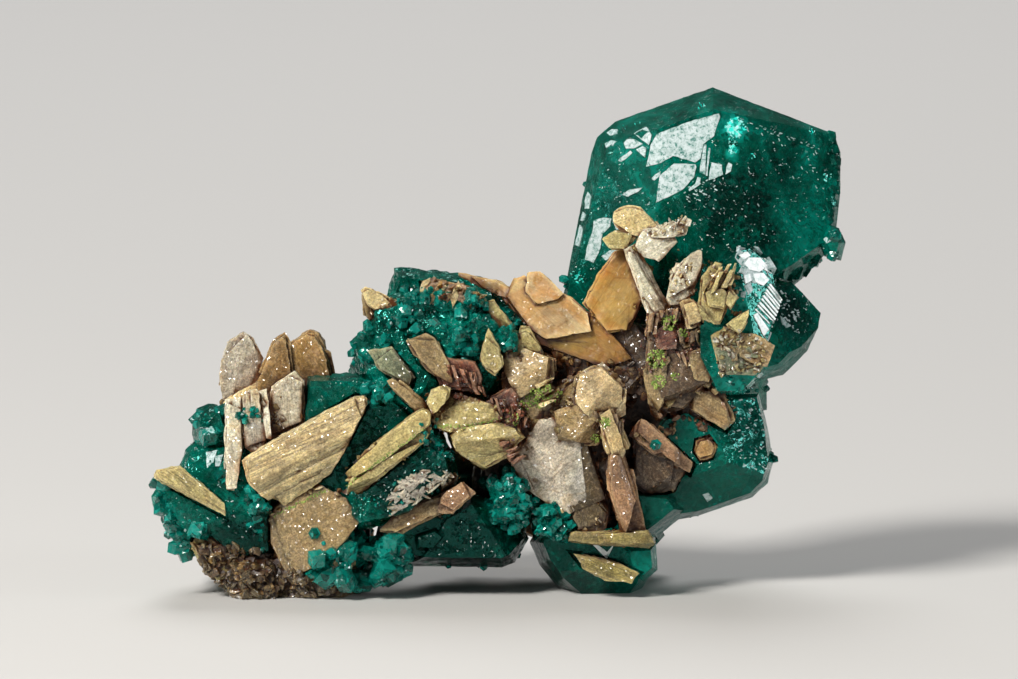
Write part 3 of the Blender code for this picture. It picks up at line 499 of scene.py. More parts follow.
class Cluster:
    """Many blades gathered in one piece. Every point keeps its stain, its place along the ribs of its own
    blade, and how strongly that blade is ribbed."""

    def __init__(self, seed):
        self.mesh = bmesh.new()
        self.stains = []
        self.grains = []
        self.ribs = []
        self.rims = []
        self.draw = random.Random(seed)

    def gather(self, made, colour, along, ribbed, rims=None):
        """Takes in a solid that is in the view grid, sets it in the frame and closes it outwards."""
        run, side = along_and_side(along)
        seed = self.draw.uniform(0, 50)
        shade = self.draw.uniform(0.85, 1.10)
        for vertex in made.verts:
            point = vertex.co
            self.stains.append((*(channel * shade for channel in colour), 1))
            ribs_at = (point.xy.dot(run), point.xy.dot(side), point.z + seed)
            self.grains.append(tuple(part * GRID for part in ribs_at))
            self.ribs.append(ribbed)
            vertex.co = place(*point)
            vertex.co.z = max(vertex.co.z, 0)
        self.rims += rims or [0.5] * len(made.verts)
        bmesh.ops.recalc_face_normals(made, faces=made.faces)
        if made.calc_volume(signed=True) < 0:
            bmesh.ops.reverse_faces(made, faces=made.faces)
        take_in(self.mesh, made)

    def add_layer(self, made, outline, inset, colour, along, depth, lean, middle, ribbed, edge):
        """Roughens one growth layer a little, leans it with its blade and takes it in."""
        split_fine(made, edge)
        made.normal_update()
        run, side = along_and_side(along)
        seed = Vector((self.draw.uniform(0, 50), 0, 0))
        moves, rims = [], []
        for vertex in made.verts:
            point = vertex.co
            rib = Vector((point.xy.dot(run) * 0.12, point.xy.dot(side) * 2.6, point.z * 0.8)) + seed
            reach = min(abs((point.xy - start).cross((end - start).normalized()))
                        for start, end in sides(outline))
            near_rim = exp(-max(0, reach - inset) / WORN_WIDTH)
            rise = 0.03 * noise.noise(point * 1.1 + seed) + 0.015 * noise.noise(point * 4)
            rise += terraces(point + seed, 3.0, 0.20, 4) + 0.06 * ribbed * noise.noise(rib)
            ragged = RIM_WEAR * near_rim * noise.noise_vector(point * 2.4 + seed).xy
            moves.append((vertex, vertex.normal * rise + ragged.to_3d()))
            rims.append(near_rim)
        for vertex, move in moves:
            vertex.co += move
            vertex.co.z += depth + (vertex.co.xy - middle).dot(Vector(lean))
        self.gather(made, colour, along, ribbed, rims)

    def add(self, one, ribbed, chipped):
        """Builds a blade of its layers."""
        stain, along, outline, depth, front, back, lean, facets, layers = one
        middle = sum((Vector(corner) for corner in outline), Vector((0, 0))) / len(outline)
        edge = SEEN_EDGE if depth < SEEN_DEPTH else HIDDEN_EDGE
        if not facets and depth < SEEN_DEPTH and chipped:
            angle = self.draw.uniform(0, 360)
            out = Vector((cos(radians(angle)), sin(radians(angle))))
            far = max((Vector(corner) - middle).dot(out) for corner in outline)
            spot = middle + out * far * self.draw.uniform(0.30, 0.75)
            facets = [(angle, self.draw.uniform(30, 62), tuple(spot), -front[1])]
        near_layers = max(1, round(layers * front[1] / (front[1] + back[1]) + 0.3))
        far_layers = max(1, layers - near_layers)
        wander = min(0.16, 0.25 * (front[1] + back[1]) / layers)
        slices = [(-front[1] * (step + 1) / near_layers, -front[1] * step / near_layers + 0.05,
                   front[0] * (step + 0.5) / near_layers) for step in range(near_layers)]
        slices += [(back[1] * step / far_layers - 0.05, back[1] * (step + 1) / far_layers,
                    back[0] * (step + 0.5) / far_layers) for step in range(far_layers)]
        for near, far, inset in slices:
            made = layer(outline, inset, near, far, facets, wander, self.draw, chipped)
            corners = [Vector(corner) for corner in outline]
            self.add_layer(made, corners, inset, STAINS[stain], along, depth, lean, middle, ribbed, edge)

    def finish(self, name, finish):
        piece = finished(self.mesh, name, finish)
        stain = piece.data.color_attributes.new(name="stain", type="FLOAT_COLOR", domain="POINT")
        stain.data.foreach_set("color", [channel for colour in self.stains for channel in colour])
        keep(piece, "grain", [part for spot in self.grains for part in spot], "FLOAT_VECTOR", "vector")
        keep(piece, "ribbed", self.ribs)
        keep(piece, "rim", self.rims)
        return piece


# Waxy and half clear, paler along its rims (frost, and painted light of thin edges): brown stain gathers in
# the cracks, painted shade with brown stain darkens the hollows, and here and there a cleavage face catches
# the light
blade = Finish("sugary_blades")
stain = blade.point_value("stain", "Color")
ribbed = blade.point_value("ribbed")
grain = blade.point_value("grain", "Vector")
waxy = blade.ramp(ribbed, (0.0, 1.0), (0.1, 0.0))
rib_place = blade.node("ShaderNodeMapping", Vector=grain, Scale=(0.05, 1, 1)).outputs[0]
ribs = blade.cloud(0.00014, 4, 0.65, place=rib_place)
patches = blade.ramp(blade.cloud(0.0030, 6, 0.62, warp=0.8), (0.36, 0.62), (0.50, 0.98), (0.62, 1.18))
patched = blade.mix(1.0, stain, patches, "MULTIPLY")
iron_cloud = blade.cloud(0.0045, 5, 0.65, warp=1.2)
iron_share = blade.mix(waxy, blade.ramp(iron_cloud, (0.55, 0.0), (0.75, 0.6)),
                       blade.ramp(iron_cloud, (0.42, 0.0), (0.60, 0.9)))
ironed = blade.mix(iron_share, patched, blade.mix(1.0, patched, (0.95, 0.64, 0.30), "MULTIPLY"))
rib_tones = blade.ramp(ribs, (0.36, 0.42), (0.50, 0.98), (0.64, 1.50))
rib_shade = blade.mix(blade.scaled(ribbed, 0.25, 0.9), (1.0, 1.0, 1.0), rib_tones)
striped = blade.mix(1.0, ironed, rib_shade, "MULTIPLY")
crack_place = blade.node("ShaderNodeMapping", Vector=grain, Scale=(0.22, 1, 1)).outputs[0]
crack_cells = blade.cells(0.0019, "Distance", "DISTANCE_TO_EDGE", crack_place)
cracks = blade.ramp(crack_cells, (0.0, 0.45), (0.020, 0.0))
cracked = blade.mix(cracks, striped, blade.mix(1.0, striped, (0.50, 0.34, 0.20), "MULTIPLY"))
pale = blade.mix(0.25, blade.mix(1.0, cracked, (1.60, 1.60, 1.60), "MULTIPLY"), (0.74, 0.60, 0.38))
# paler near the rims: partly frost, partly painted light standing in for light through the thin edges
rim_frost_and_painted_light = blade.mix(blade.ramp(blade.point_value("rim"), (0.45, 0.0), (1.0, 0.7)), cracked, pale)
speckle = blade.ramp(blade.cloud(0.00017, 4, 0.85), (0.36, 0.50), (0.50, 1.0), (0.64, 1.50))
speckled = blade.mix(blade.scaled(waxy, 1.0, 0.12), rim_frost_and_painted_light, speckle, "MULTIPLY")
sugar_share = blade.ramp(blade.cloud(0.00034, 5, 0.85), (0.53, 0.0), (0.60, 0.7))
sugared = blade.mix(blade.mix(waxy, sugar_share, (0.0, 0.0, 0.0)), speckled, pale)
# painted shade with brown stain: where a point is shut in, its colour is darkened brown and its coat turned
# down
hollow_shade_and_stain = blade.mix(1.0, sugared, (0.20, 0.085, 0.035), "MULTIPLY")
hollow_shade_share = blade.ramp(blade.point_value("hollow"), (0.10, 0.0), (0.70, 1.0))
blade_colour_and_shade = blade.mix(hollow_shade_share, sugared, hollow_shade_and_stain)
grit = blade.bump(blade.cloud(0.00035, 4, 0.6), 0.00003, 0.6)
rib_bump = blade.bump(ribs, 0.00008, blade.scaled(ribbed, 0.25, 1.0), grit)
blade.set(Base_Color=blade_colour_and_shade, Roughness=blade.ramp(blade.cloud(0.0009, 4), (0.38, 0.36), (0.62, 0.60)),
          IOR=1.60, Specular_IOR_Level=0.35, Subsurface_Weight=0.35, Subsurface_Scale=0.0014,
          Normal=blade.faceted(0.00030, blade.scaled(waxy, 0.30, 0.03),
                               blade.faceted(0.0011, 0.13, rib_bump)),
          Coat_Weight=blade.mix(hollow_shade_share, blade.scaled(waxy, 0.8, 0.16), (0.05, 0.05, 0.05)),
          Coat_Roughness=0.05, Coat_Normal=blade.faceted(0.00011, 0.72))
blade.shader.inputs["Subsurface Radius"].default_value = (1.0, 0.6, 0.3)


def slats(stain, along, start, end, count, long, depth, seed):
    """Thin slats side by side from start to end, like the ribs of a broken blade, long in one direction."""
    draw = random.Random(seed)
    start, end, made = Vector(start), Vector(end), []
    for step in range(count):
        run, side = along_and_side(along + draw.uniform(-7, 7))[0], (end - start) / count * 0.62
        foot = start.lerp(end, (step + 0.5) / count) - run * draw.uniform(0, 0.15) * long
        tip = foot + run * long * draw.uniform(0.7, 1.05)
        corners = [foot - side, foot + side, tip + side * draw.uniform(0.2, 0.9),
                   tip - side * draw.uniform(0.2, 0.9)]
        made.append(plate(stain, along, [tuple(corner) for corner in corners],
                          depth + draw.uniform(-0.25, 0.25), 0.8,
                          (draw.uniform(-0.2, 0.2), draw.uniform(-0.2, 0.2)), 1))
    return made


middle_mass = [
    chunk("brown", 30, [(-3, 20), (1, 26), (6, 27), (13, 26), (18, 22), (18.6, 13), (14, 7), (5, 7),
        (-3, 9)], 5, (2.2, 5.4), (3, 5)),
    chunk("brown", 60, [(13, 26), (19, 28), (22, 25), (20.6, 18), (17, 17), (12, 20)], 2.4, (1, 5), (2, 5)),
    # the ribbed blades that run down to the left
    plate("straw", 28, [(-16.2, 10.4), (-16, 11.5), (-13.9, 13.8), (-7.6, 18.6), (-6.6, 17.8), (-7, 16.6),
        (-13, 12)], -7.6, 2.2),
    plate("straw", 28, [(-15.6, 9.6), (-15.2, 11), (-7.6, 16.6), (-6.6, 16.4), (-7.6, 14.8), (-14.6, 9.6)],
        -7.8, 1.6),
    plate("tan", -33, [(-11.3, 21.2), (-10.4, 21.4), (-7.2, 18.9), (-6.6, 17.6), (-7.8, 17.6), (-11, 20.4)],
        -6.8, 1.7, (0.1, 0)),
    plate("straw", 25, [(-7.4, 19.1), (-7, 20.2), (-5.6, 20.8), (-4.9, 20.5), (-5.3, 19), (-6.8, 17.6)],
        -7.2, 1.6, (0, 0.1)),
    # the thick blades of the middle
    chunk("straw", -8, [(-7.4, 18.1), (-5.3, 19.9), (-4.6, 20.1), (-0.6, 18.9), (0.4, 17.3), (-4.8, 15.7),
        (-7, 16.5)], -4.2, (0.2, 2.6), (0.5, 3.8), (0.05, 0.28)),
    chunk("straw", 30, [(-5.4, 15.8), (-4.4, 16.7), (-0.4, 17.3), (1.9, 16.4), (2.7, 15.5), (0.4, 13.4),
        (-1.8, 12.2), (-4.8, 14.2)], -4.2, (0.4, 4), (0.5, 5), (-0.12, 0.1), [(-82, 50, (-1, 15.2), -4.0)]),
    chunk("rust", 60, [(-1.4, 19.4), (0.9, 20.6), (2.8, 18.8), (2.6, 15.6), (0, 15.4), (-1.2, 17)], -3.2,
        (0.3, 3), (0.5, 5)),
    chunk("buff", 20, [(0.2, 24.3), (2.2, 24.7), (5.6, 23.4), (5.6, 21.7), (4.8, 20.3), (2, 19.1),
        (0.2, 20.4)], -1.6, (0.3, 3.6), (0.5, 4), (0.1, 0.15), [(120, 66, (2, 23), -3.3)]),
    chunk("tan", 10, [(2, 20.6), (4.8, 21), (6.4, 19.4), (6.2, 16.4), (2.4, 15.8), (1.4, 18.2)], -2,
        (0.4, 3), (0.5, 3), (0.1, 0)),
    chunk("tan", 40, [(5.2, 21.2), (7.6, 21.6), (9.2, 19.8), (8.4, 17), (5, 17)], -1.8, (0.3, 3), (0.5, 3),
        (0, 0.2)),
    chunk("buff", 35, [(7.4, 21.6), (9.9, 23), (12.6, 20.6), (12.6, 17.8), (9.4, 16.6), (7, 19.2)], -2.2,
        (0.4, 3.8), (0.5, 3), (-0.1, 0.15), [(-40, 60, (11, 19.4), -3.6)]),
    chunk("brown", 0, [(6, 24.2), (9.8, 24), (11, 21.4), (7, 20.6)], 0, (0.6, 2.2), (1, 4)),
    plate("straw", -65, [(2, 26.8), (2.9, 26.6), (4.2, 24.4), (4, 22.6), (2.4, 22.8), (1.6, 24.6)], -2.8,
        1.4, (0.2, 0.1)),
    # the wide pale wall below them
    chunk("white", 40, [(1, 13.4), (2, 15.9), (3.8, 17.8), (8, 18.2), (9.4, 14), (9.2, 9), (8.4, 6.4),
        (6.4, 6.8), (4.2, 8.8), (1.5, 10.8)], -1.8, (0.5, 4), (0.8, 4), (0.10, 0.06), [(205, 64, (3.2, 12),
        -3.3)]),
    # painted shade: the dark umber of the wall's lower right, here and in the plate below, stands partly for
    # shade on it
    chunk("umber", 75, [(4.6, 18.2), (9.6, 18.2), (11, 15), (11.4, 9.4), (11.8, 6.4), (9.4, 5.9),
        (7.3, 6.3), (4.6, 11.6)], -0.8, (0.6, 4.6), (1, 4), (0.1, 0.08), [(170, 70, (7, 12), -4.6)]),
    plate("umber", 80, [(7.4, 9.6), (9.4, 12.4), (11, 9.4), (10.6, 6.2), (8, 6), (7.2, 7.4)], -5.2, 0.6,
        (0.1, 0.06)),
    chunk("tan", 10, [(4.6, 18.6), (8.4, 19.2), (10.8, 17.2), (9.8, 14.6), (5.6, 14.8)], -3.6, (0.5, 2.4),
        (0.8, 4), (0.05, 0.2)),
    # the column, the beam and the blades beside them
    chunk("pink", -78, [(10.5, 12.4), (10.9, 14.4), (12.9, 14), (13.9, 9.6), (14.7, 6), (14.3, 5.2),
        (12.2, 5.5), (10.9, 9.4)], -5.6, (0.5, 1.8), (0.5, 3), (0.05, 0.1), [(15, 50, (13.4, 10), -1.4)]),
    chunk("cream", -70, [(9.5, 18.2), (11.2, 18.9), (12.9, 14.4), (12.4, 13.2), (10.7, 13.6)], -5.2,
        (0.4, 1.5), (0.5, 3.6), (0.1, 0.2)),
    chunk("pink", -37, [(13.3, 16.6), (13.9, 17.4), (14.8, 17.1), (19.5, 12.7), (19, 11.7), (15.4, 13.8),
        (13, 15.6)], -3.6, (0.3, 1.1), (0.4, 2.4), (0.15, 0)),
    chunk("brown", -60, [(13.3, 15.6), (15.6, 14.8), (18.9, 12.4), (17.3, 10.2), (14.6, 9.6), (13, 11)],
        -2.0, (0.4, 1), (0.5, 3), (0.1, -0.05)),
    plate("olive", 0, [(6.2, 5.2), (6.8, 5.9), (15, 6.2), (15.6, 5.2), (15.2, 4.6), (10, 4.7)], -6.2, 1.7),
    # the large honey sheet behind, the orange blade and the white lath that stand on it
    plate("pearl", -20, [(-4.3, 31.7), (-3.9, 32.4), (-2.1, 32.5), (-0.3, 31.3), (1.4, 31.0), (1.4, 29.2),
        (-1.6, 30.2)], 0.9, 1.5, (-0.12, 0.2), 1),
    plate("pearl", -35, [(-0.9, 31.3), (1.6, 31.6), (3.4, 32.0), (5.3, 31.2), (6.9, 29.7), (8.6, 28.9),
        (9, 26), (4.4, 25.4), (2.6, 26.6), (0.2, 29.4)], -0.6, 2.4, (-0.12, 0.25), 1),
    plate("amber", -28, [(3.6, 28.4), (6.6, 29.4), (8.8, 29), (10.4, 27.2), (13.2, 25.9), (14.2, 24.2),
        (14.6, 21), (10, 22.4), (4.6, 24.2), (2.8, 26)], -1.2, 2.6, (-0.10, 0.12), 1),
    plate("amber", -24, [(4.2, 26.2), (9, 25.0), (14.4, 23), (13.8, 20.4), (9.6, 21.4), (5.6, 23.4)], -1.3,
        1.8, (-0.1, -0.25), 1),
    plate("pearl", -28, [(2.4, 29.8), (2.7, 31.9), (4.2, 32.1), (6.5, 29.8), (5.6, 28.8), (3.6, 28.6)],
        -1.5, 1.0, (-0.14, 0.3), 1),
    chunk("brown", -30, [(8, 25), (10.6, 27), (14.4, 27), (16, 24), (15.2, 20.2), (12.8, 19.4), (9, 21.6)],
        0.6, (0.5, 3.2), (1, 4), (-0.05, 0.2)),
    chunk("orange", 58, [(8.3, 28.8), (9.7, 31.7), (11.4, 34.0), (12.7, 34.2), (15.5, 32.5), (14.8, 30.2),
        (12.8, 26.2), (10.6, 26.0)], -1.2, (0.3, 0.9), (0.5, 1.8), (0.05, 0.25)),
    chunk("pale", -62, [(12.4, 34.2), (13.6, 34.8), (17, 28), (16.8, 26), (15.4, 26)], -3.6, (0.2, 0.7),
        (0.3, 1.3), (0.1, 0.2)),
    # the leaves of the right side and the stained blades in the hollow below them, whose dark colours are
    # partly painted shade
    chunk("pale", 65, [(16.8, 31.4), (17.6, 32.9), (19, 34), (20.2, 34.5), (20.4, 33.2), (19.6, 30.6),
        (18.6, 28.6), (17.2, 28.2), (16.4, 29.2)], -4.6, (0.4, 1), (0.5, 1.6), (0.05, 0.1)),
    chunk("straw", 60, [(20.1, 31.6), (21.2, 33.1), (23.2, 32.6), (23.6, 31), (23.4, 29.8), (22, 26.8),
        (19.6, 27)], -5.6, (0.3, 0.8), (0.5, 2), (0.1, 0.15)),
    *slats("straw", 66, (20.0, 29.7), (23.0, 30.7), 6, 3.0, -7.0, 3),
    plate("straw", 40, [(20.4, 30), (22.2, 30.4), (23.2, 29.6), (22.4, 28.2), (20.8, 28.6)], -7.0, 0.9),
    # stacks of rusty and brown ribs
    *slats("rust", -72, (-5.6, 23.0), (-2.4, 21.8), 7, 2.2, -6.6, 4),
    *slats("rust", -60, (-3.8, 21.2), (-1.6, 20.4), 5, 1.6, -6.2, 5),
    *slats("rust", -76, (-1.0, 19.4), (1.2, 18.8), 6, 1.9, -6.6, 6),
    *slats("rust", -100, (0.8, 18.6), (2.8, 17.6), 5, 1.7, -6.2, 7),
    *slats("rust", 28, (0.0, 15.0), (1.4, 12.8), 6, 1.6, -8.2, 8),
    *slats("brown", -80, (9.4, 18), (12.2, 17.4), 6, 2.0, -5.6, 9),
    *slats("pink", -100, (14.6, 27.6), (17.8, 28.4), 7, 2.6, -5.6, 10),
    *slats("brown", -84, (16.8, 26), (20, 26), 7, 2.4, -5.2, 11),
    *slats("pink", -70, (17.6, 23.8), (20.6, 24.4), 7, 2.6, -5.0, 12),
    *slats("brown", -110, (14.8, 23.4), (17.2, 23.6), 5, 2.2, -5.2, 13),
    *slats("rust", -85, (16, 20.8), (18.6, 21.6), 6, 2.0, -4.6, 14),
    *slats("cream", 20, (3.4, 20.6), (4.2, 18.4), 5, 2.4, -5.8, 15),
    *slats("tan", -30, (5.8, 20), (7.2, 18), 4, 2.4, -5.4, 16),
    chunk("cream", 20, [(18, 28.9), (19.2, 29.4), (20.6, 28.4), (20.2, 26.8), (18.6, 26.4)], -5.2,
        (0.3, 0.8), (0.5, 2.4)),
    # painted shade: this blade's dark brown stands partly for the shade of the hollow
    chunk("brown", 70, [(14.4, 26.6), (16.8, 28.6), (19.6, 28.8), (21.8, 27), (22.4, 23.6), (20.8, 20),
        (18.8, 18), (15.6, 18.4), (14, 22)], -1.4, (0.9, 3.6), (1.5, 4), (0, 0.05)),
    chunk("rust", 20, [(15, 26.4), (16.6, 27.4), (18.2, 26.2), (18, 24), (15.6, 23.6)], -4.0, (0.5, 1.6),
        (0.5, 2)),
    chunk("tan", 50, [(18.4, 24.4), (20.6, 25.2), (21.9, 23), (21, 20.4), (19, 20.8)], -3.8, (0.6, 1.6),
        (0.5, 2)),
    plate("tan", -85, [(14.2, 22.6), (16.6, 22.6), (16.2, 18.6), (15.7, 16.5), (15.1, 17)], -4.2, 1.8,
        (0, -0.06)),
    chunk("tan", -30, [(19, 20.6), (21.5, 20.4), (23, 18.6), (23.5, 17), (22.7, 16), (18.8, 18.2)], -2.2,
        (0.4, 1.8), (0.5, 2.6)),
    chunk("honey", 20, [(19.4, 15.4), (21, 15.8), (21.8, 14.7), (21.4, 13.2), (20, 12.8), (19.2, 14)], -1.2,
        (0.6, 1.6), (0.6, 2)),
    chunk("brown", 45, [(17.6, 19.4), (20, 19), (21, 16.6), (20.2, 14.6), (17.6, 14.2), (16.4, 16.6)], 0.4,
        (1, 2.2), (1, 3)),
    # the blades of the back
    plate("tan", 70, [(-4, 6), (-6.4, 11), (-3.6, 17), (0, 15), (0.6, 8)], 10.4, 2.4, (-0.1, -0.1)),
    plate("brown", 40, [(-2, 11), (-3, 17.4), (1.6, 20), (3.4, 14)], 10.0, 2.6, (0.1, -0.2)),
    plate("cream", 80, [(3, 14), (1.4, 19), (4.6, 24.2), (7.4, 23), (7, 16.4)], 10.6, 2.2, (0.15, 0.05)),
    plate("tan", 100, [(6, 16), (6.6, 22), (9.4, 23.4), (9.8, 17)], 10.2, 2.2, (0.2, 0.15)),
    plate("straw", 60, [(7, 7), (6, 12.6), (9, 15.4), (11, 10.4), (9.4, 6)], 10.5, 2.2, (0.1, -0.1)),
    plate("tan", 20, [(8.6, 11), (8.8, 17.6), (13.4, 16.8), (13.2, 10.6)], 10.2, 2.4, (0.15, 0.1)),
    plate("honey", 120, [(0.6, 6), (1, 13), (5.6, 14.4), (6.6, 8), (4, 5)], 10.2, 2.4, (-0.1, 0.15)),
    *slats("tan", 80, (-4, 9), (10, 12), 9, 4.0, 11.0, 61),
]
# the blades of the foot: their dark umber and brown are partly stain, partly painted shade at the foot
base_mass = [
    chunk("umber", 10, [(-30, 3.4), (-29, 4.6), (-26, 4.4), (-17.5, 4), (-13.5, 2.6), (-12.6, 1),
        (-13.6, -1.6), (-25, -1.6), (-28, 0.2)], 0, (0.8, 4.6), (1.5, 9)),
    chunk("brown", 30, [(-26, 3), (-24, 8), (-21, 11.6), (-16, 11.4), (-13, 8), (-12.6, 3), (-16, 0),
        (-24, -1)], 1.6, (1.0, 5), (3, 6)),
    chunk("tan", 35, [(-23.2, 7.8), (-21.6, 9.6), (-18, 11), (-15.4, 9.6), (-13.6, 7), (-15.4, 4.8),
        (-17.4, 2.6), (-19.3, 0.9), (-21.2, 0.9), (-22.8, 4.4)], -5.0, (0.3, 2.2), (0.5, 5), (0, 0.12),
        [(200, 60, (-22, 6), -1.5)], 4),
    plate("umber", 0, [(-20, 2.4), (-17.6, 3.0), (-15.6, 1.8), (-16.4, -0.2), (-19.6, -0.6), (-22, 0.2)],
        -4.6, 2),
    plate("olive", -30, [(-31, 4.6), (-30.3, 5.7), (-29, 5.6), (-27.2, 4.2), (-26.8, 1.6), (-28, 0.8),
        (-29.8, 2.4)], -4.6, 1.4),
    *slats("tan", -60, (-30.8, 4.8), (-28.4, 4.6), 4, 2.6, -5.4, 21),
    plate("umber", -10, [(-28.8, 3.4), (-26, 3.6), (-22.4, 3.2), (-21, 1.4), (-22.6, -0.6), (-27.4, -0.4)],
        -5.0, 1.6, (0.05, 0.1)),
    plate("honey", 12, [(-26.8, 2.8), (-24.4, 3.4), (-22.8, 2.4), (-23.6, 1), (-26, 1.2)], -6.0, 0.8,
        (0.1, 0.2)),
    chunk("tan", 30, [(-22.8, 5.8), (-22.2, 6.4), (-15, 6.6), (-13, 4.6), (-14.8, 1), (-21, -0.4)], -2.6,
        (0.6, 2), (1, 4)),
    plate("tan", 60, [(-24, 1.6), (-23, 8), (-17, 9.4), (-12.6, 6), (-13.6, 0.6), (-18, -1)], 9.6, 2.4,
        (0.05, -0.15)),
]
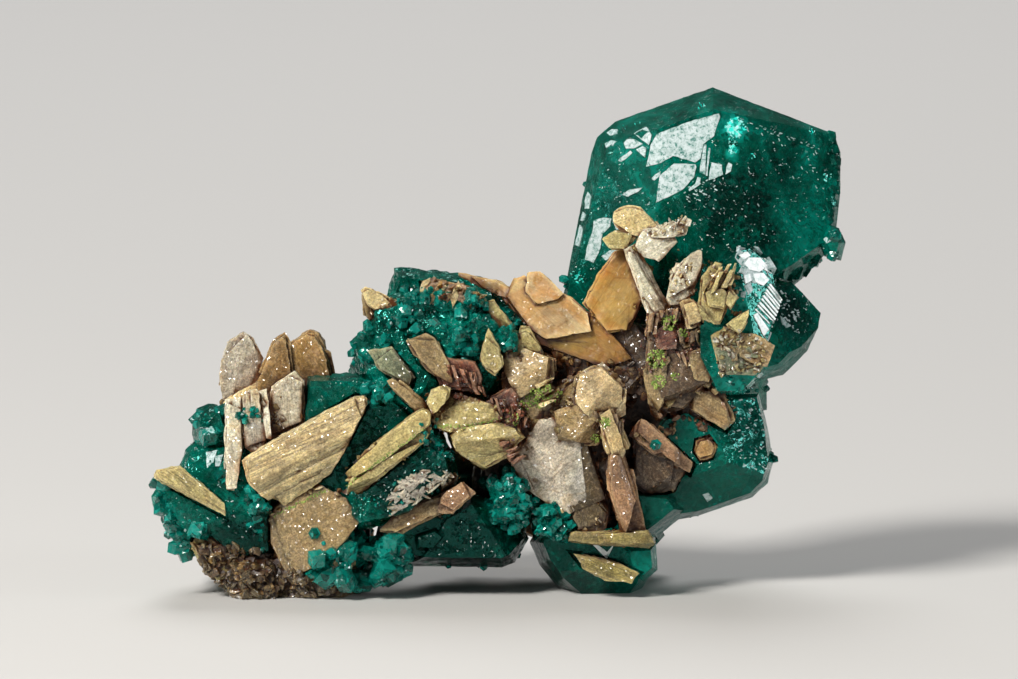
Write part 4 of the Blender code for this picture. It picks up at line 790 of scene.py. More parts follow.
single_blades = {
    "long_tan_blade": [
        chunk("cream", 26, [(-25.7, 13.1), (-23.2, 14.8), (-14.4, 19.8), (-13.3, 19.6), (-13.2, 18.6),
            (-15, 15), (-17, 11.7), (-21.2, 8.8), (-22.7, 8.6), (-25.2, 11)], -7, (0.25, 1.5), (0.3, 1.6),
            (0, 0.1), [(-62, 60, (-19, 12.6), -1.0)], 7),
    ],
    "upright_tan_blades": [
        plate("white", 75, [(-28.2, 21.2), (-28, 23.2), (-27.2, 25.2), (-25.7, 26.1), (-25, 25.6),
            (-23.8, 23.4), (-24.2, 21.4), (-25, 20), (-27.4, 18.4), (-28.2, 19.2)], 0.4, 1.3, (0.1, 0.12)),
        chunk("cream", 60, [(-28.2, 19), (-24.4, 21), (-21, 21), (-20.6, 15), (-26, 15.8), (-28, 18)], -0.6,
            (0.4, 1.4), (0.4, 2), (0, 0.15)),
        chunk("honey", 70, [(-24.8, 20.4), (-24.2, 22), (-22.7, 25.4), (-21.5, 26.2), (-20.9, 25),
            (-20.3, 21), (-21.6, 17.6), (-24, 18.4)], -1.2, (0.6, 1.2), (0.4, 1.4), (0.1, 0.15)),
        chunk("honey", -60, [(-21.6, 24.8), (-19.4, 26.3), (-18.3, 26), (-17.2, 24.2), (-16.4, 21),
            (-17.6, 17), (-21.4, 17)], 0.8, (0.7, 2), (0.6, 2), (0.1, 0.2)),
        plate("pale", -85, [(-22.8, 20.6), (-20.6, 22), (-19.6, 21), (-19.7, 17), (-20.6, 15.4),
            (-23, 14.4)], -3.6, 2.0, (0.05, 0.1)),
        plate("white", -87, [(-25.7, 19.6), (-24.6, 20.3), (-23.2, 19.8), (-23.3, 15), (-24.4, 13.6),
            (-25.4, 14.4)], -5.2, 1.2, (0, 0.12)),
        *slats("pale", -87, (-25.5, 19.8), (-23.4, 20.2), 3, 5.4, -5.6, 41),
        plate("pale", -85, [(-27.6, 19.2), (-25.8, 19.4), (-25.5, 14.6), (-26.2, 10.2), (-27.3, 10.2)],
            -5.8, 1.4, (0, 0.22)),
    ],
    "left_spear_blade": [
        plate("straw", -35, [(-34.7, 11.4), (-34.3, 12.2), (-31.8, 12.7), (-27.5, 9), (-27.2, 7.3),
            (-30.4, 9.1)], -7.0, 1.3, (-0.1, 0)),
    ],
    "shoulder_blade": [
        plate("grey", -50, [(-13.2, 24.1), (-10.8, 24.5), (-8.4, 21.4), (-9, 20.3), (-12.1, 22.3)], -5.2,
            1.3, (0.05, 0.05)),
    ],
    "wedge_blade": [
        plate("tan", -45, [(-9.5, 25.6), (-7.4, 25.8), (-6.4, 25.2), (-4.8, 22.4), (-4.6, 20.6),
            (-6.6, 21.6), (-8.2, 23.3)], -5.6, 1.7, (0, 0.05)),
        plate("rust", -60, [(-6.8, 23.8), (-2.4, 22.9), (-1.8, 21.4), (-2.2, 20.2), (-5.8, 20.4)], -5.0,
            2.6),
    ],
    "saddle_leaf_blade": [
        plate("straw", -60, [(-1.3, 26.6), (-0.1, 24.6), (0.4, 22.7), (-0.4, 21.5), (-2.1, 23),
            (-1.9, 24.2)], -5.6, 1.2, (0, 0.1)),
    ],
    "saddle_ridge_blade": [
        plate("straw", -50, [(-1.4, 29.6), (-0.6, 29.2), (1.2, 26.8), (1.1, 26), (0.2, 26.2), (-1.3, 28)],
            -2.8, 1.0, (0.2, 0)),
    ],
    "saddle_crest_blade": [
        plate("pink", -12, [(-8, 31), (-6.5, 31.4), (-3, 30.6), (-1.2, 29.6), (-2.2, 29.2), (-5, 29.8),
            (-7.8, 30.2)], 0.4, 2.6, (0, 0.2)),
    ],
    "saddle_tip_blade": [
        plate("cream", -20, [(-13.9, 30), (-13.1, 30.6), (-12, 30), (-10, 29.3), (-10.2, 28.4),
            (-12.4, 28.2), (-13.4, 28.8)], -1.2, 1.3, (0.05, 0.1)),
        plate("tan", -75, [(-13.8, 29.8), (-12.6, 29.6), (-12.7, 27.3), (-13.1, 26.9), (-13.6, 27.6)], -0.6,
            1.2, (0.2, 0)),
    ],
    "crown_petal_blades": [
        plate("cream", 20, [(11.3, 38.0), (12.8, 38.8), (14.1, 38.4), (15.3, 37.2), (16.2, 36.0),
            (14.7, 35.1), (13.0, 35.6), (11.3, 36.8)], -1.9, 0.8, (0.05, 0.2), 1),
        plate("straw", 0, [(10.1, 35.4), (11.4, 36.2), (13.2, 36.0), (13.8, 35.2), (12.6, 34.2),
            (11.2, 34.2)], -2.3, 0.7, (0, 0.1), 1),
        plate("pale", 30, [(13.4, 34.4), (14.2, 36.2), (16.4, 36.8), (18.0, 36.0), (17.8, 35.0),
            (16.9, 34.1), (15.9, 33.1), (14.4, 33.4)], -2.7, 0.7, (-0.05, 0.15), 2),
        plate("pale", 20, [(14.4, 37.0), (16.9, 37.0), (18.2, 38.0), (19, 37.3), (18.7, 35.9), (17.5, 35.4),
            (15.2, 35.2)], -3.0, 0.8, (0, 0.15), 1),
        *slats("pale", 60, (17.4, 36.9), (18.9, 36.6), 4, 1.0, -3.4, 32),
    ],
    "small_leaf_blade": [plate("straw", 60, [(22.1, 29.1), (22.8, 30.4), (23.7, 29.4), (22.9, 28.2)], -6.9,
        1)],
    "striped_crystal_crust": [
        plate("straw", 30, [(21.0, 25.9), (22.8, 26.8), (24.9, 25.8), (24.4, 23.4), (21.6, 23.0)], -5.3,
            2.2, (0.1, 0), 2),
        plate("tan", -40, [(23.2, 26.1), (25.4, 25.8), (27.3, 24.7), (26.6, 22.6), (23.8, 23.4)], -5.5, 2.2,
            (0, 0.1), 2),
        plate("grey", 20, [(21.4, 24.6), (25, 24.9), (26.6, 23), (25.6, 21.5), (22.4, 21.6)], -5.2, 2.4,
            (0.1, -0.1), 2),
        *slats("tan", -60, (22.4, 24.8), (25.8, 24.0), 6, 1.6, -6.1, 51),
    ],
    "large_leaf_blade": [plate("straw", 50, [(22.5, 26.8), (24.9, 28.3), (24.6, 27), (23.8, 25.8)], -6.8,
        1.1)],
    "foot_blade": [
        plate("olive", -22, [(7, 4), (11.4, 3.2), (14, 1.9), (13.3, 0.9), (10.6, 1.2), (8.2, 2.4)], -5.1,
            1.3, (0, 0.1)),
    ],
    "lower_tan_blades": [
        plate("tan", 30, [(-12.4, 6.2), (-10.2, 8.2), (-5.4, 10), (-5.2, 8.2), (-10, 6)], -5.4, 2,
            (0, 0.1)),
        plate("pink", 30, [(-6, 9.6), (-3.6, 11), (-2.4, 10), (-4.6, 8), (-6.4, 8)], -5.8, 2.2, (0, 0.1)),
    ],
}
RIBBED = ("long_tan_blade", "left_spear_blade", "foot_blade")
WAXY = ("amber", "orange", "pearl")
# the long blade is ribbed from here up, and sugary below: (side, width of the change) in the view
RIBS_FROM, RIBS_FADE = 20.4, 1.4
masses = [("middle_blade_matrix", "middle_blades", middle_mass, "tan_blades", 11),
          ("base_blade_matrix", "base_blades", base_mass, "tan_blades", 12)]
for node, blades in single_blades.items():
    name = node.replace("_blades", "").replace("_blade", "") + "_layers"
    masses.append((node, name, blades, "pale_blades", 11 + len(masses)))
for node, name, blades, slot, seed in masses:
    cluster = Cluster(seed)
    for one in blades:
        if one[0] in WAXY:
            cluster.add(one, 0.0, 0.0)
        else:
            ribbed_one = node in RIBBED or one[0] == "rust"
            cluster.add(one, 1.0 if ribbed_one else 0.2, 0.3 if "matrix" in node else 0.0)
    if node == "long_tan_blade":
        cluster.ribs = [0.1 + 0.9 * min(1, max(0, (side / GRID - RIBS_FROM) / RIBS_FADE))
                        for _, side, _ in cluster.grains]
    piece = cluster.finish(name, blade)
    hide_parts(node)
    skins[name] = piece

# Everything small is seated on the surfaces that are in place by now. What the photograph's side shows is
# found along the line of sight, and the sides and the back are strewn evenly.
def surface_of(pieces):
    """The faces of these pieces, ready to be searched."""
    points, faces = [], []
    for piece in pieces:
        first = len(points)
        points += [vertex.co.copy() for vertex in piece.data.vertices]
        faces += [[first + corner for corner in face.vertices] for face in piece.data.polygons]
    return BVHTree.FromPolygons(points, faces)


DIOPTASE = [name for name, *_ in crystal_groups.values()]
surfaces = {name: surface_of([piece]) for name, piece in skins.items()}
flat_faces = {node: surface_of([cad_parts[node]]) for node in crystal_groups}
everything = surface_of(skins.values())
SIGHT = (place(0, 0, 1) - place(0, 0, 0)).normalized()
# a depth well in front of everything
SIGHT_START = -30


def seat(across, up, trees=surfaces, only=None):
    """The nearest surface behind a place in the view, as (point, normal), or None."""
    start = place(across, up, SIGHT_START)
    best = None
    for name, tree in trees.items():
        if only and name not in only:
            continue
        point, normal, _, distance = tree.ray_cast(start, SIGHT)
        if point and (best is None or distance < best[2]):
            best = (point, normal if normal.dot(SIGHT) < 0 else -normal, distance)
    return best and best[:2]


def seat_in_sight(across, up, only):
    """As seat, but nothing where another piece stands in front."""
    found, first = seat(across, up, only=only), seat(across, up)
    return found if found and (found[0] - first[0]).length < 0.3 * GRID else None


def places_in(outline, count, draw):
    """Evenly drawn places inside an outline in the view."""
    low = [min(corner[axis] for corner in outline) for axis in (0, 1)]
    high = [max(corner[axis] for corner in outline) for axis in (0, 1)]
    found = []
    while len(found) < count:
        x, y = draw.uniform(low[0], high[0]), draw.uniform(low[1], high[1])
        crossed = [ax + (y - ay) / (by - ay) * (bx - ax) > x
                   for (ax, ay), (bx, by) in sides(outline) if (ay > y) != (by > y)]
        if sum(crossed) % 2:
            found.append((x, y))
    return found


def strewn(pieces, count, draw, behind=True):
    """Open places all over these pieces, as (point, normal). behind leaves out what the front shows."""
    faces = [(face, piece) for piece in pieces for face in piece.data.polygons]
    found = []
    for face, piece in draw.choices(faces, [face.area for face, _ in faces], k=count * 3):
        point, normal = face.center.copy(), face.normal.copy()
        if len(found) < count and (normal.dot(SIGHT) > 0.3 or not behind):
            if everything.ray_cast(point + normal * 0.00005, normal, 0.0012)[0] is None:
                found.append((point, normal))
    return found


AROUND = [Vector((cos(turn) * 0.75, sin(turn) * 0.75, 0.66)) for turn in (0.3, 1.8, 3.4, 4.9)]
AROUND.append(Vector((0, 0, 1)))


def shut_in(point, normal, reach=0.0036):
    """How far a place on a surface is closed in by what stands round it, from 0 to 1."""
    turn = normal.to_track_quat("Z", "Y")
    start = point + normal * 0.00008
    return sum(everything.ray_cast(start, turn @ ray, reach)[0] is not None for ray in AROUND) / len(AROUND)


def chip_shape(draw, flat=0.35):
    """An angular broken bit, one unit wide: a flat block with its corners cleaved away."""
    mesh = bmesh.new()
    bmesh.ops.create_cube(mesh, size=1)
    bmesh.ops.scale(mesh, verts=mesh.verts, vec=(1, draw.uniform(0.5, 0.9), flat))
    for _ in range(5):
        turn = draw.uniform(0, 2 * pi)
        normal = Vector((cos(turn), sin(turn), draw.uniform(-0.5, 0.5))).normalized()
        cut(mesh, normal * draw.uniform(0.26, 0.42), normal)
    slant = Vector((draw.uniform(-0.4, 0.4), draw.uniform(-0.4, 0.4), 1))
    cut(mesh, Vector((0, 0, flat * 0.4)), slant.normalized())
    return mesh


class Grains:
    """Many small copies of a few shapes gathered in one piece."""

    def __init__(self, shapes, seed):
        self.shapes = []
        for shape in shapes:
            self.shapes.append(bpy.data.meshes.new("grain"))
            shape.to_mesh(self.shapes[-1])
            shape.free()
        self.mesh = bmesh.new()
        self.draw = random.Random(seed)

    def add(self, point, direction, size, lean=0.0, sink=0.3):
        """Sets one grain on a point. size is (width, width, length) in metres."""
        turn = tumbled(direction.normalized(), lean, self.draw)
        made = self.draw.choice(self.shapes).copy()
        foot = Matrix.Translation(point - direction * size[2] * sink)
        made.transform(foot @ turn @ Matrix.Diagonal((*size, 1)))
        if min(vertex.co.z for vertex in made.vertices) > 0:
            self.mesh.from_mesh(made)
        bpy.data.meshes.remove(made)

    def sprinkle(self, outline, count, sizes, lean, sink, length=1, only=None, shut=0.0):
        """Seats grains all over an outline in the view, where it is at least so shut in. sizes is (least,
        most) in GRID, and length is how long a grain is for its width."""
        for across, up in places_in(outline, count, self.draw):
            found = seat_in_sight(across, up, only) if only else seat(across, up)
            if found and shut_in(*found) >= shut:
                size = drawn_size(sizes, self.draw, GRID)
                self.add(*found, (size, size, size * length), lean, sink)

    def strew(self, pieces, count, sizes, lean, sink=0.3):
        """Seats small clusters of grains all round the sides and the back."""
        for point, normal in strewn(pieces, count // 4, self.draw):
            for _ in range(4):
                step = any_way(self.draw) * sizes[1] * GRID
                near, away, _, _ = everything.find_nearest(point + step)
                away = away if away.dot(normal) > 0 else normal
                self.add(near, away, (drawn_size(sizes, self.draw, GRID),) * 3, lean, sink)

    def finish(self, name, finish, slot):
        piece = finished(self.mesh, name, finish)
        for shape in self.shapes:
            bpy.data.meshes.remove(shape)
        return piece


# Growth plates: where a dioptase face went on growing it carries thin flat plates with straight rims, whose
# white tops are partly etched frost and partly painted reflection of the lamps. One that would run STEEPEST
# times as deep as it is wide is left out. The others are in GRID: the parts of a rim, how near the plate's
# own plane a face under it has to be, how thick the plate is and how far it goes into the crystal.
STEEPEST = 2.3
RIM_PART = 0.5
SAME_FACE = 1.5
PLATE_THICK = 0.05
PLATE_ROOT = 0.2


def draped(outline, draw, rise, thick, ragged=0.04, tilt=(0, 0)):
    """A thin plate with this outline in the view, laid over the flat faces and standing rise above them."""
    middle = [sum(corner[axis] for corner in outline) / len(outline) for axis in (0, 1)]
    face = seat(*middle, flat_faces)
    if not face:
        return None
    centre, facing = face
    facing = (facing + Vector((tilt[0], 0, tilt[1]))).normalized()
    mesh = bmesh.new()
    verts = []
    for start, end in sides(outline):
        parts = max(1, round(hypot(end[0] - start[0], end[1] - start[1]) / RIM_PART))
        for part in range(parts):
            wobble = ragged if part else 0
            corner = [start[axis] + part / parts * (end[axis] - start[axis]) + draw.uniform(-wobble, wobble)
                      for axis in (0, 1)]
            verts.append(mesh.verts.new((*corner, 0)))
    mesh.faces.new(verts)
    bmesh.ops.triangulate(mesh, faces=mesh.faces)
    split_fine(mesh, 1.2)
    for vert in mesh.verts:
        start = place(vert.co.x, vert.co.y, SIGHT_START)
        flat = start + SIGHT * ((centre - start).dot(facing) / SIGHT.dot(facing))
        found = seat(vert.co.x, vert.co.y, flat_faces)
        near = found and (found[0] - flat).length < SAME_FACE * GRID
        on, up = found if near and tilt == (0, 0) else (flat, facing)
        vert.co = on + up * rise * GRID
    steps = [vert.co - centre for vert in mesh.verts]
    deep = max(abs(step.dot(SIGHT)) for step in steps)
    if deep > STEEPEST * max((step - SIGHT * step.dot(SIGHT)).length for step in steps):
        mesh.free()
        return None
    bmesh.ops.recalc_face_normals(mesh, faces=mesh.faces)
    lower = mesh.verts[:]
    raised = bmesh.ops.extrude_face_region(mesh, geom=mesh.faces[:])
    moved = [part for part in raised["geom"] if isinstance(part, bmesh.types.BMVert)]
    bmesh.ops.translate(mesh, verts=moved, vec=facing * thick * GRID)
    bmesh.ops.translate(mesh, verts=lower, vec=-facing * (rise + PLATE_ROOT) * GRID)
    bmesh.ops.triangulate(mesh, faces=mesh.faces)
    # Extruding makes the rim's faces in an order of its own each run, so they are sorted along a slanted line
    across = Vector((1, 0.618, 0.382))
    mesh.faces.sort(key=lambda face: face.calc_center_median().dot(across))
    bmesh.ops.recalc_face_normals(mesh, faces=mesh.faces)
    return mesh


class Plates:
    """Thin plates gathered in one piece."""

    def __init__(self, seed):
        self.mesh = bmesh.new()
        self.draw = random.Random(seed)

    def add(self, outline, rise=0.05, ragged=0.04, tilt=(0, 0)):
        made = draped(outline, self.draw, rise, PLATE_THICK, ragged, tilt)
        if made:
            take_in(self.mesh, made)

    def speckle_one(self, spot, sizes, along, long):
        """One tiny four-sided plate with a corner on this place in the view."""
        size = drawn_size(sizes, self.draw)
        turn = radians(along)
        run = Vector((cos(turn), sin(turn))) * size * long
        side = Vector((-sin(turn + 0.35), cos(turn + 0.35))) * size * 0.7
        corner = Vector(spot)
        if seat_in_sight(*spot, DIOPTASE):
            self.add([tuple(corner), tuple(corner + run), tuple(corner + run + side), tuple(corner + side)],
                     0.04, 0.0, (self.draw.uniform(-0.1, 0.1), self.draw.uniform(-0.1, 0.1)))

    def speckle(self, region, count, sizes, along, long):
        """Tiny plates of one direction all over a region."""
        for spot in places_in(region, count, self.draw):
            turned = along + self.draw.choice((0, 0, 62)) + self.draw.uniform(-6, 6)
            self.speckle_one(spot, sizes, turned, long)


etched = Finish("etched_and_painted_white_plates")
# pale grey-white tops: partly etched frost, partly painted reflection of the lamps
frost_and_painted_reflection = etched.ramp(etched.cloud(0.00034, 6, 0.8, warp=0.5), (0.40, (0.0, 0.15, 0.12)),
                   (0.45, (0.30, 0.44, 0.42)), (0.56, (0.58, 0.67, 0.68)))
etched.set(Base_Color=frost_and_painted_reflection, Roughness=0.45, IOR=1.67, Normal=etched.faceted(0.00015, 0.10))

plates = Plates(31)
crown_plates = [
    [(21.89, 47.87), (22.02, 47.53), (21.44, 45.64), (20.33, 44.76), (20.1, 43.4), (19.56, 42.98),
        (17.33, 43.64), (16.22, 42.98), (14.67, 42.59), (14.83, 43.31), (15.11, 44.76), (15.67, 45.76),
        (16.89, 46.31), (19.1, 47.1)],
    [(19.56, 42.8), (19.67, 42.53), (19.44, 41.53), (18.33, 40.31), (16.89, 39.53), (15.67, 38.98),
        (15.78, 40.09), (16, 41.64), (17.44, 42.87)],
    [(18.89, 40.31), (19.56, 40.87), (19.78, 41.53), (20.1, 41.42), (20, 40.76), (18.95, 40.1)],
    [(20.44, 44.76), (20.67, 44.76), (20.56, 41.76), (20, 41.98), (20.22, 43.64)],
    [(20.89, 44.42), (21.06, 44.42), (20.78, 41.64), (20.61, 41.64)],
    [(21.22, 42.98), (22.22, 42.76), (22.33, 41.76), (20.89, 41.2), (21, 42.1)],
    [(22.89, 42.98), (23.22, 42.76), (23.11, 42.09), (22.56, 41.76), (22.67, 42.53)],
    [(13.44, 45.87), (14.67, 46.53), (15.22, 45.76), (14.94, 44.76)],
    [(12.44, 44.98), (12.78, 45.37), (13.56, 45.31), (14.33, 44.87), (13.44, 44.42), (12.67, 44.42)],
    [(13.67, 44.31), (14.33, 44.64), (14.67, 44.42), (14.56, 43.53)],
    [(11.9, 43.2), (12.1, 43.5), (13.1, 44.2), (13.3, 44), (12.9, 43.6), (12.2, 43.1)],
    [(10.78, 46), (11.3, 46.35), (11.89, 46.3), (11.8, 45.9), (11.1, 45.7)],
    [(10.6, 44.9), (11.2, 45.2), (11.7, 45.1), (11.3, 44.7), (10.7, 44.5)],
    [(15.2, 41.4), (15.6, 41.8), (16.1, 42.1), (16.1, 41.8), (15.5, 41.2)],
    [(12.3, 39.8), (13, 40.3), (14.3, 40.5), (13.9, 40.1), (12.8, 39.6)],
    [(8.9, 40.1), (9.2, 39.6), (9, 38.4), (8.6, 38.4), (8.6, 39.2)],
    [(8.4, 38.1), (8.7, 37.8), (8.5, 37.2), (8.2, 37.2)],
    [(8.1, 36.8), (8.4, 36.4), (8, 34.6), (7.6, 34.8)],
    [(9.44, 37.2), (10.4, 37.5), (11.22, 37.4), (11.1, 36.64), (10.33, 35.87), (10.11, 34.42),
        (9.44, 32.98), (8.56, 33.31), (8.89, 34.87), (9.33, 36.1)],
    [(10.22, 33.64), (11, 34.2), (11.78, 34.31), (11.2, 33.6), (10.67, 33.2)],
    [(11.44, 36.98), (12.1, 37.2), (12.78, 36.42), (11.7, 36.3)],
    [(32.5, 35.3), (32.8, 35.5), (33.1, 35.2), (32.8, 34.9)],
]
# the striped face under the crown: bars of growth that end on one straight edge
bars = []
for share in (0, 0.09, 0.17, 0.28, 0.36, 0.48, 0.58, 0.70, 0.79, 0.92):
    x, y = 26.95 - 1.75 * share, 31.0 - 3.0 * share
    far_x, far_y = 28.15 - 1.15 * share, 29.4 - 3.2 * share
    wide = 0.10 + 0.09 * ((share * 37) % 1)
    bars.append([(x, y), (x + wide, y + wide * 0.6), (far_x + wide * 0.5, far_y + wide), (far_x, far_y)])
crown_plates += [
    [(26.8, 33.5), (27.56, 32.31), (27.0, 31.31), (26.6, 31.9), (26.5, 32.8)],
    [(25.4, 34.6), (25.9, 34.5), (26.3, 33.9), (26.1, 33.7)],
    [(23.9, 34.6), (24.2, 33.9), (24.5, 33.2), (24, 32.6), (23.4, 33.4)],
    [(24.6, 33.6), (25.5, 33), (26.2, 31.6), (25.4, 30.8), (24.6, 31.4), (23.8, 32)],
    [(24.3, 30.6), (24.9, 30.9), (25.2, 30.2), (24.7, 29.7)],
    [(24, 30), (24.5, 30.1), (24.4, 29.4), (24, 29.5)],
    [(28, 27.6), (28.5, 27.2), (28.9, 26.5), (28.7, 26.4), (28.2, 26.8)],
    [(29.3, 27.9), (29.6, 27.4), (29.7, 27), (29.4, 27.2)],
    [(20.3, 9.7), (20.9, 9.9), (21.3, 9.4), (20.8, 9)],
    [(-29.3, 14), (-28.2, 14.2), (-28.6, 13), (-29.2, 12.4)],
    [(-28.4, 13.6), (-27.6, 13.8), (-28, 12.6), (-28.4, 12.6)],
    [(-29.2, 6), (-28.8, 5.9), (-29.1, 5), (-29.4, 5.1)],
]
for outline in crown_plates:
    plates.add(outline)
speckled = [
    # (region, count, (least, most) size, direction, how long for its width)
    ([(23.4, 33.6), (25.1, 34.4), (27, 32.2), (26.6, 30.6), (27.6, 29.6), (26, 29), (24.2, 29.6),
        (23.2, 31)], 60, (0.08, 0.26), -55, 1.6),
    ([(27.9, 30.4), (30.8, 29.0), (30.4, 27), (29.6, 25.6), (28, 27), (28.2, 28.6)], 40, (0.08, 0.24), -50,
        1.6),
    ([(23.5, 47), (33.4, 43.8), (33.4, 35), (30, 32.6), (27, 34.5), (25.5, 38)], 46, (0.03, 0.09), -35,
        1.6),
    ([(23.5, 47), (33.4, 43.8), (31, 38), (25.5, 38)], 24, (0.05, 0.10), -60, 3.2),
    ([(24, 47.4), (34, 43.9), (34, 43.5), (24, 46.9)], 40, (0.04, 0.12), -22, 2.6),
    ([(18, 41), (24, 41), (28, 36), (26, 33), (20, 36)], 46, (0.03, 0.13), -20, 1.6),
    ([(18.6, 41), (21.6, 41.6), (21.4, 39.4), (18.6, 39)], 40, (0.06, 0.2), -20, 1.6),
    ([(10, 44), (16, 42), (15, 36), (9.5, 36)], 24, (0.05, 0.13), 20, 1.6),
    ([(21.5, 19.4), (25.6, 19.4), (26.8, 15), (26.6, 12), (24.4, 12.4), (22.6, 16)], 80, (0.06, 0.22), -40,
        1.6),
    ([(-33, 14), (-26, 18), (-25, 4), (-32, 6)], 60, (0.05, 0.16), -40, 1.6),
    ([(-17, 21.5), (-8, 21.5), (-8, 16), (-14, 16)], 40, (0.04, 0.12), 30, 1.6),
    ([(-10, 14), (-5, 15), (-5, 8), (-16, 6)], 40, (0.05, 0.16), 30, 1.6),
]
for region in speckled:
    plates.speckle(*region)
piece = finished(plates.mesh, "growth_plates", etched)

# the bars of the striped face and the bright rims below it are smooth; their near-white colour is painted
# reflection of the lamps, mirrored whole
painted_gleam = Finish("painted_gleam_plates")
painted_reflection = painted_gleam.ramp(painted_gleam.cloud(0.0005, 5, 0.7), (0.36, (0.42, 0.60, 0.56)), (0.48, (0.80, 0.85, 0.84)))
painted_gleam.set(Base_Color=painted_reflection, Roughness=0.3, IOR=1.67)
bright = Plates(33)
painted_bright_rims = [
    [(25.2, 27.7), (25.6, 27.9), (26.5, 26.6), (27.0, 25.9), (26.65, 25.09), (26.2, 25.6)],
    [(23.7, 34.5), (24.4, 34.3), (24.9, 33.6), (24.2, 33.2), (23.8, 33.6)],
    [(25.2, 34.4), (25.8, 34.6), (26.3, 34.2), (26, 33.6), (25.3, 33.7)],
    [(24.7, 33.4), (25.9, 33.4), (26.6, 32.6), (25.8, 32.0), (24.8, 32.2), (24.3, 32.8)],
    [(26.4, 33.3), (27.3, 32.6), (27, 31.8), (26.3, 32.2)],
    [(25.2, 31.8), (26.2, 31.9), (26.8, 31.2), (26.2, 30.6), (25.4, 31)],
    [(24.2, 31.6), (24.8, 31.8), (25, 31.1), (24.4, 30.8)],
    [(26.67, 23.3), (26.89, 22.98), (26.5, 21.6), (26, 20.31), (25.6, 20.2), (26.2, 22)],
    [(25.6, 20.3), (25.2, 20.3), (24.3, 19.6), (24.5, 19.5)],
    [(9.3, 4.7), (10.7, 3.3), (11.4, 4.8), (10.7, 4), (9.6, 4.9)],
]
for outline in bars + painted_bright_rims:
    bright.add(outline, 0.10, 0.02)
piece = finished(bright.mesh, "painted_gleam_plates", painted_gleam)


# Druse: crusts of tiny dioptase crystals, bright teal where they are thin enough for light to pass
def prism_shape(length):
    """A short six-sided crystal with a three-sided point, one unit wide."""
    mesh = bmesh.new()
    bmesh.ops.create_cone(mesh, cap_ends=True, cap_tris=False, segments=6, radius1=0.5, radius2=0.5,
                          depth=length)
    bmesh.ops.translate(mesh, verts=mesh.verts, vec=(0, 0, length / 2))
    for third in range(3):
        turn = radians(120 * third + 30)
        cut(mesh, Vector((0, 0, length)), Vector((cos(turn) * 0.77, sin(turn) * 0.77, 0.63)))
    return mesh


teal = Finish("teal_druse")
glow = teal.ramp(teal.mix(0.45, teal.cells(0.0007), teal.cloud(0.0016, 4)), (0.2, (0.0, 0.06, 0.045)),
                 (0.5, (0.0, 0.22, 0.17)), (0.8, (0.02, 0.55, 0.45)))
teal.set(Base_Color=glow, Roughness=0.12, IOR=1.67, Specular_IOR_Level=0.2, Transmission_Weight=0.5,
         Normal=teal.faceted(0.0002, 0.45))
teal.tint_depth(300.0)

druse = Grains([prism_shape(0.9), prism_shape(1.2), prism_shape(1.5)], 41)
saddle_skin = [(-13.6, 26.4), (-12.6, 29), (-8, 29.8), (-3, 29), (1, 26), (1.5, 24), (-1, 22), (-4, 23),
               (-8, 26), (-10, 22.5), (-13.8, 22)]
left_skin = [(-34.6, 11), (-31, 18), (-28, 19), (-25, 12), (-27, 3), (-31, 4), (-33, 7)]
druse_patches = [
    # (outline, count, (least, most) size, lean)
    (saddle_skin, 170, (0.15, 0.5), 0.7),
    (saddle_skin, 30, (0.9, 1.9), 0.5),
    ([(-9.8, 30.4), (-6, 30.2), (-6, 29), (-9.8, 29.2)], 34, (0.4, 1.0), 0.6),
    ([(-4.2, 29.6), (-1, 29.4), (-1, 28), (-4, 28)], 34, (0.4, 1.0), 0.6),
    ([(-1.8, 10.8), (1, 12.2), (3.8, 9.2), (2.2, 5.8), (-1, 7)], 110, (0.4, 1.4), 0.6),
    ([(3.4, 11), (5.4, 11.2), (7.2, 8), (7, 5.4), (3.4, 5.6)], 90, (0.4, 1.3), 0.6),
    ([(8.3, 8), (11.8, 8), (12, 5.8), (8.2, 5.6)], 50, (0.4, 1.1), 0.6),
    ([(-13.2, 21), (-10.5, 21), (-10.4, 19.2), (-13, 19.2)], 26, (0.6, 1.4), 0.6),
    ([(-25.3, 11), (-22.8, 11), (-22.6, 8), (-25, 7.6)], 40, (0.4, 1.0), 0.6),
    ([(-34.6, 11), (-33.4, 11.4), (-32.6, 7), (-30.4, 3.8), (-31.6, 3.6), (-33.6, 7)], 30, (0.7, 2.0), 0.5),
    (left_skin, 50, (0.14, 0.45), 0.7),
    (left_skin, 10, (1.2, 2.6), 0.3),
    ([(-7.6, 16.6), (-5, 16), (-4.6, 13), (-7.4, 14)], 50, (0.3, 0.9), 0.6),
    ([(-16.6, 9.6), (-12, 10), (-4.6, 15), (-5, 9), (-12, 7)], 90, (0.12, 0.4), 0.8),
    ([(21.6, 24), (26, 24), (26, 20), (21.6, 20)], 60, (0.2, 0.6), 0.7),
    ([(0.6, 28.4), (2, 27.4), (1.6, 24), (0, 24)], 30, (0.4, 0.9), 0.6),
]
for outline, count, sizes, lean in druse_patches:
    druse.sprinkle(outline, count, sizes, lean, 0.45, only=DIOPTASE)
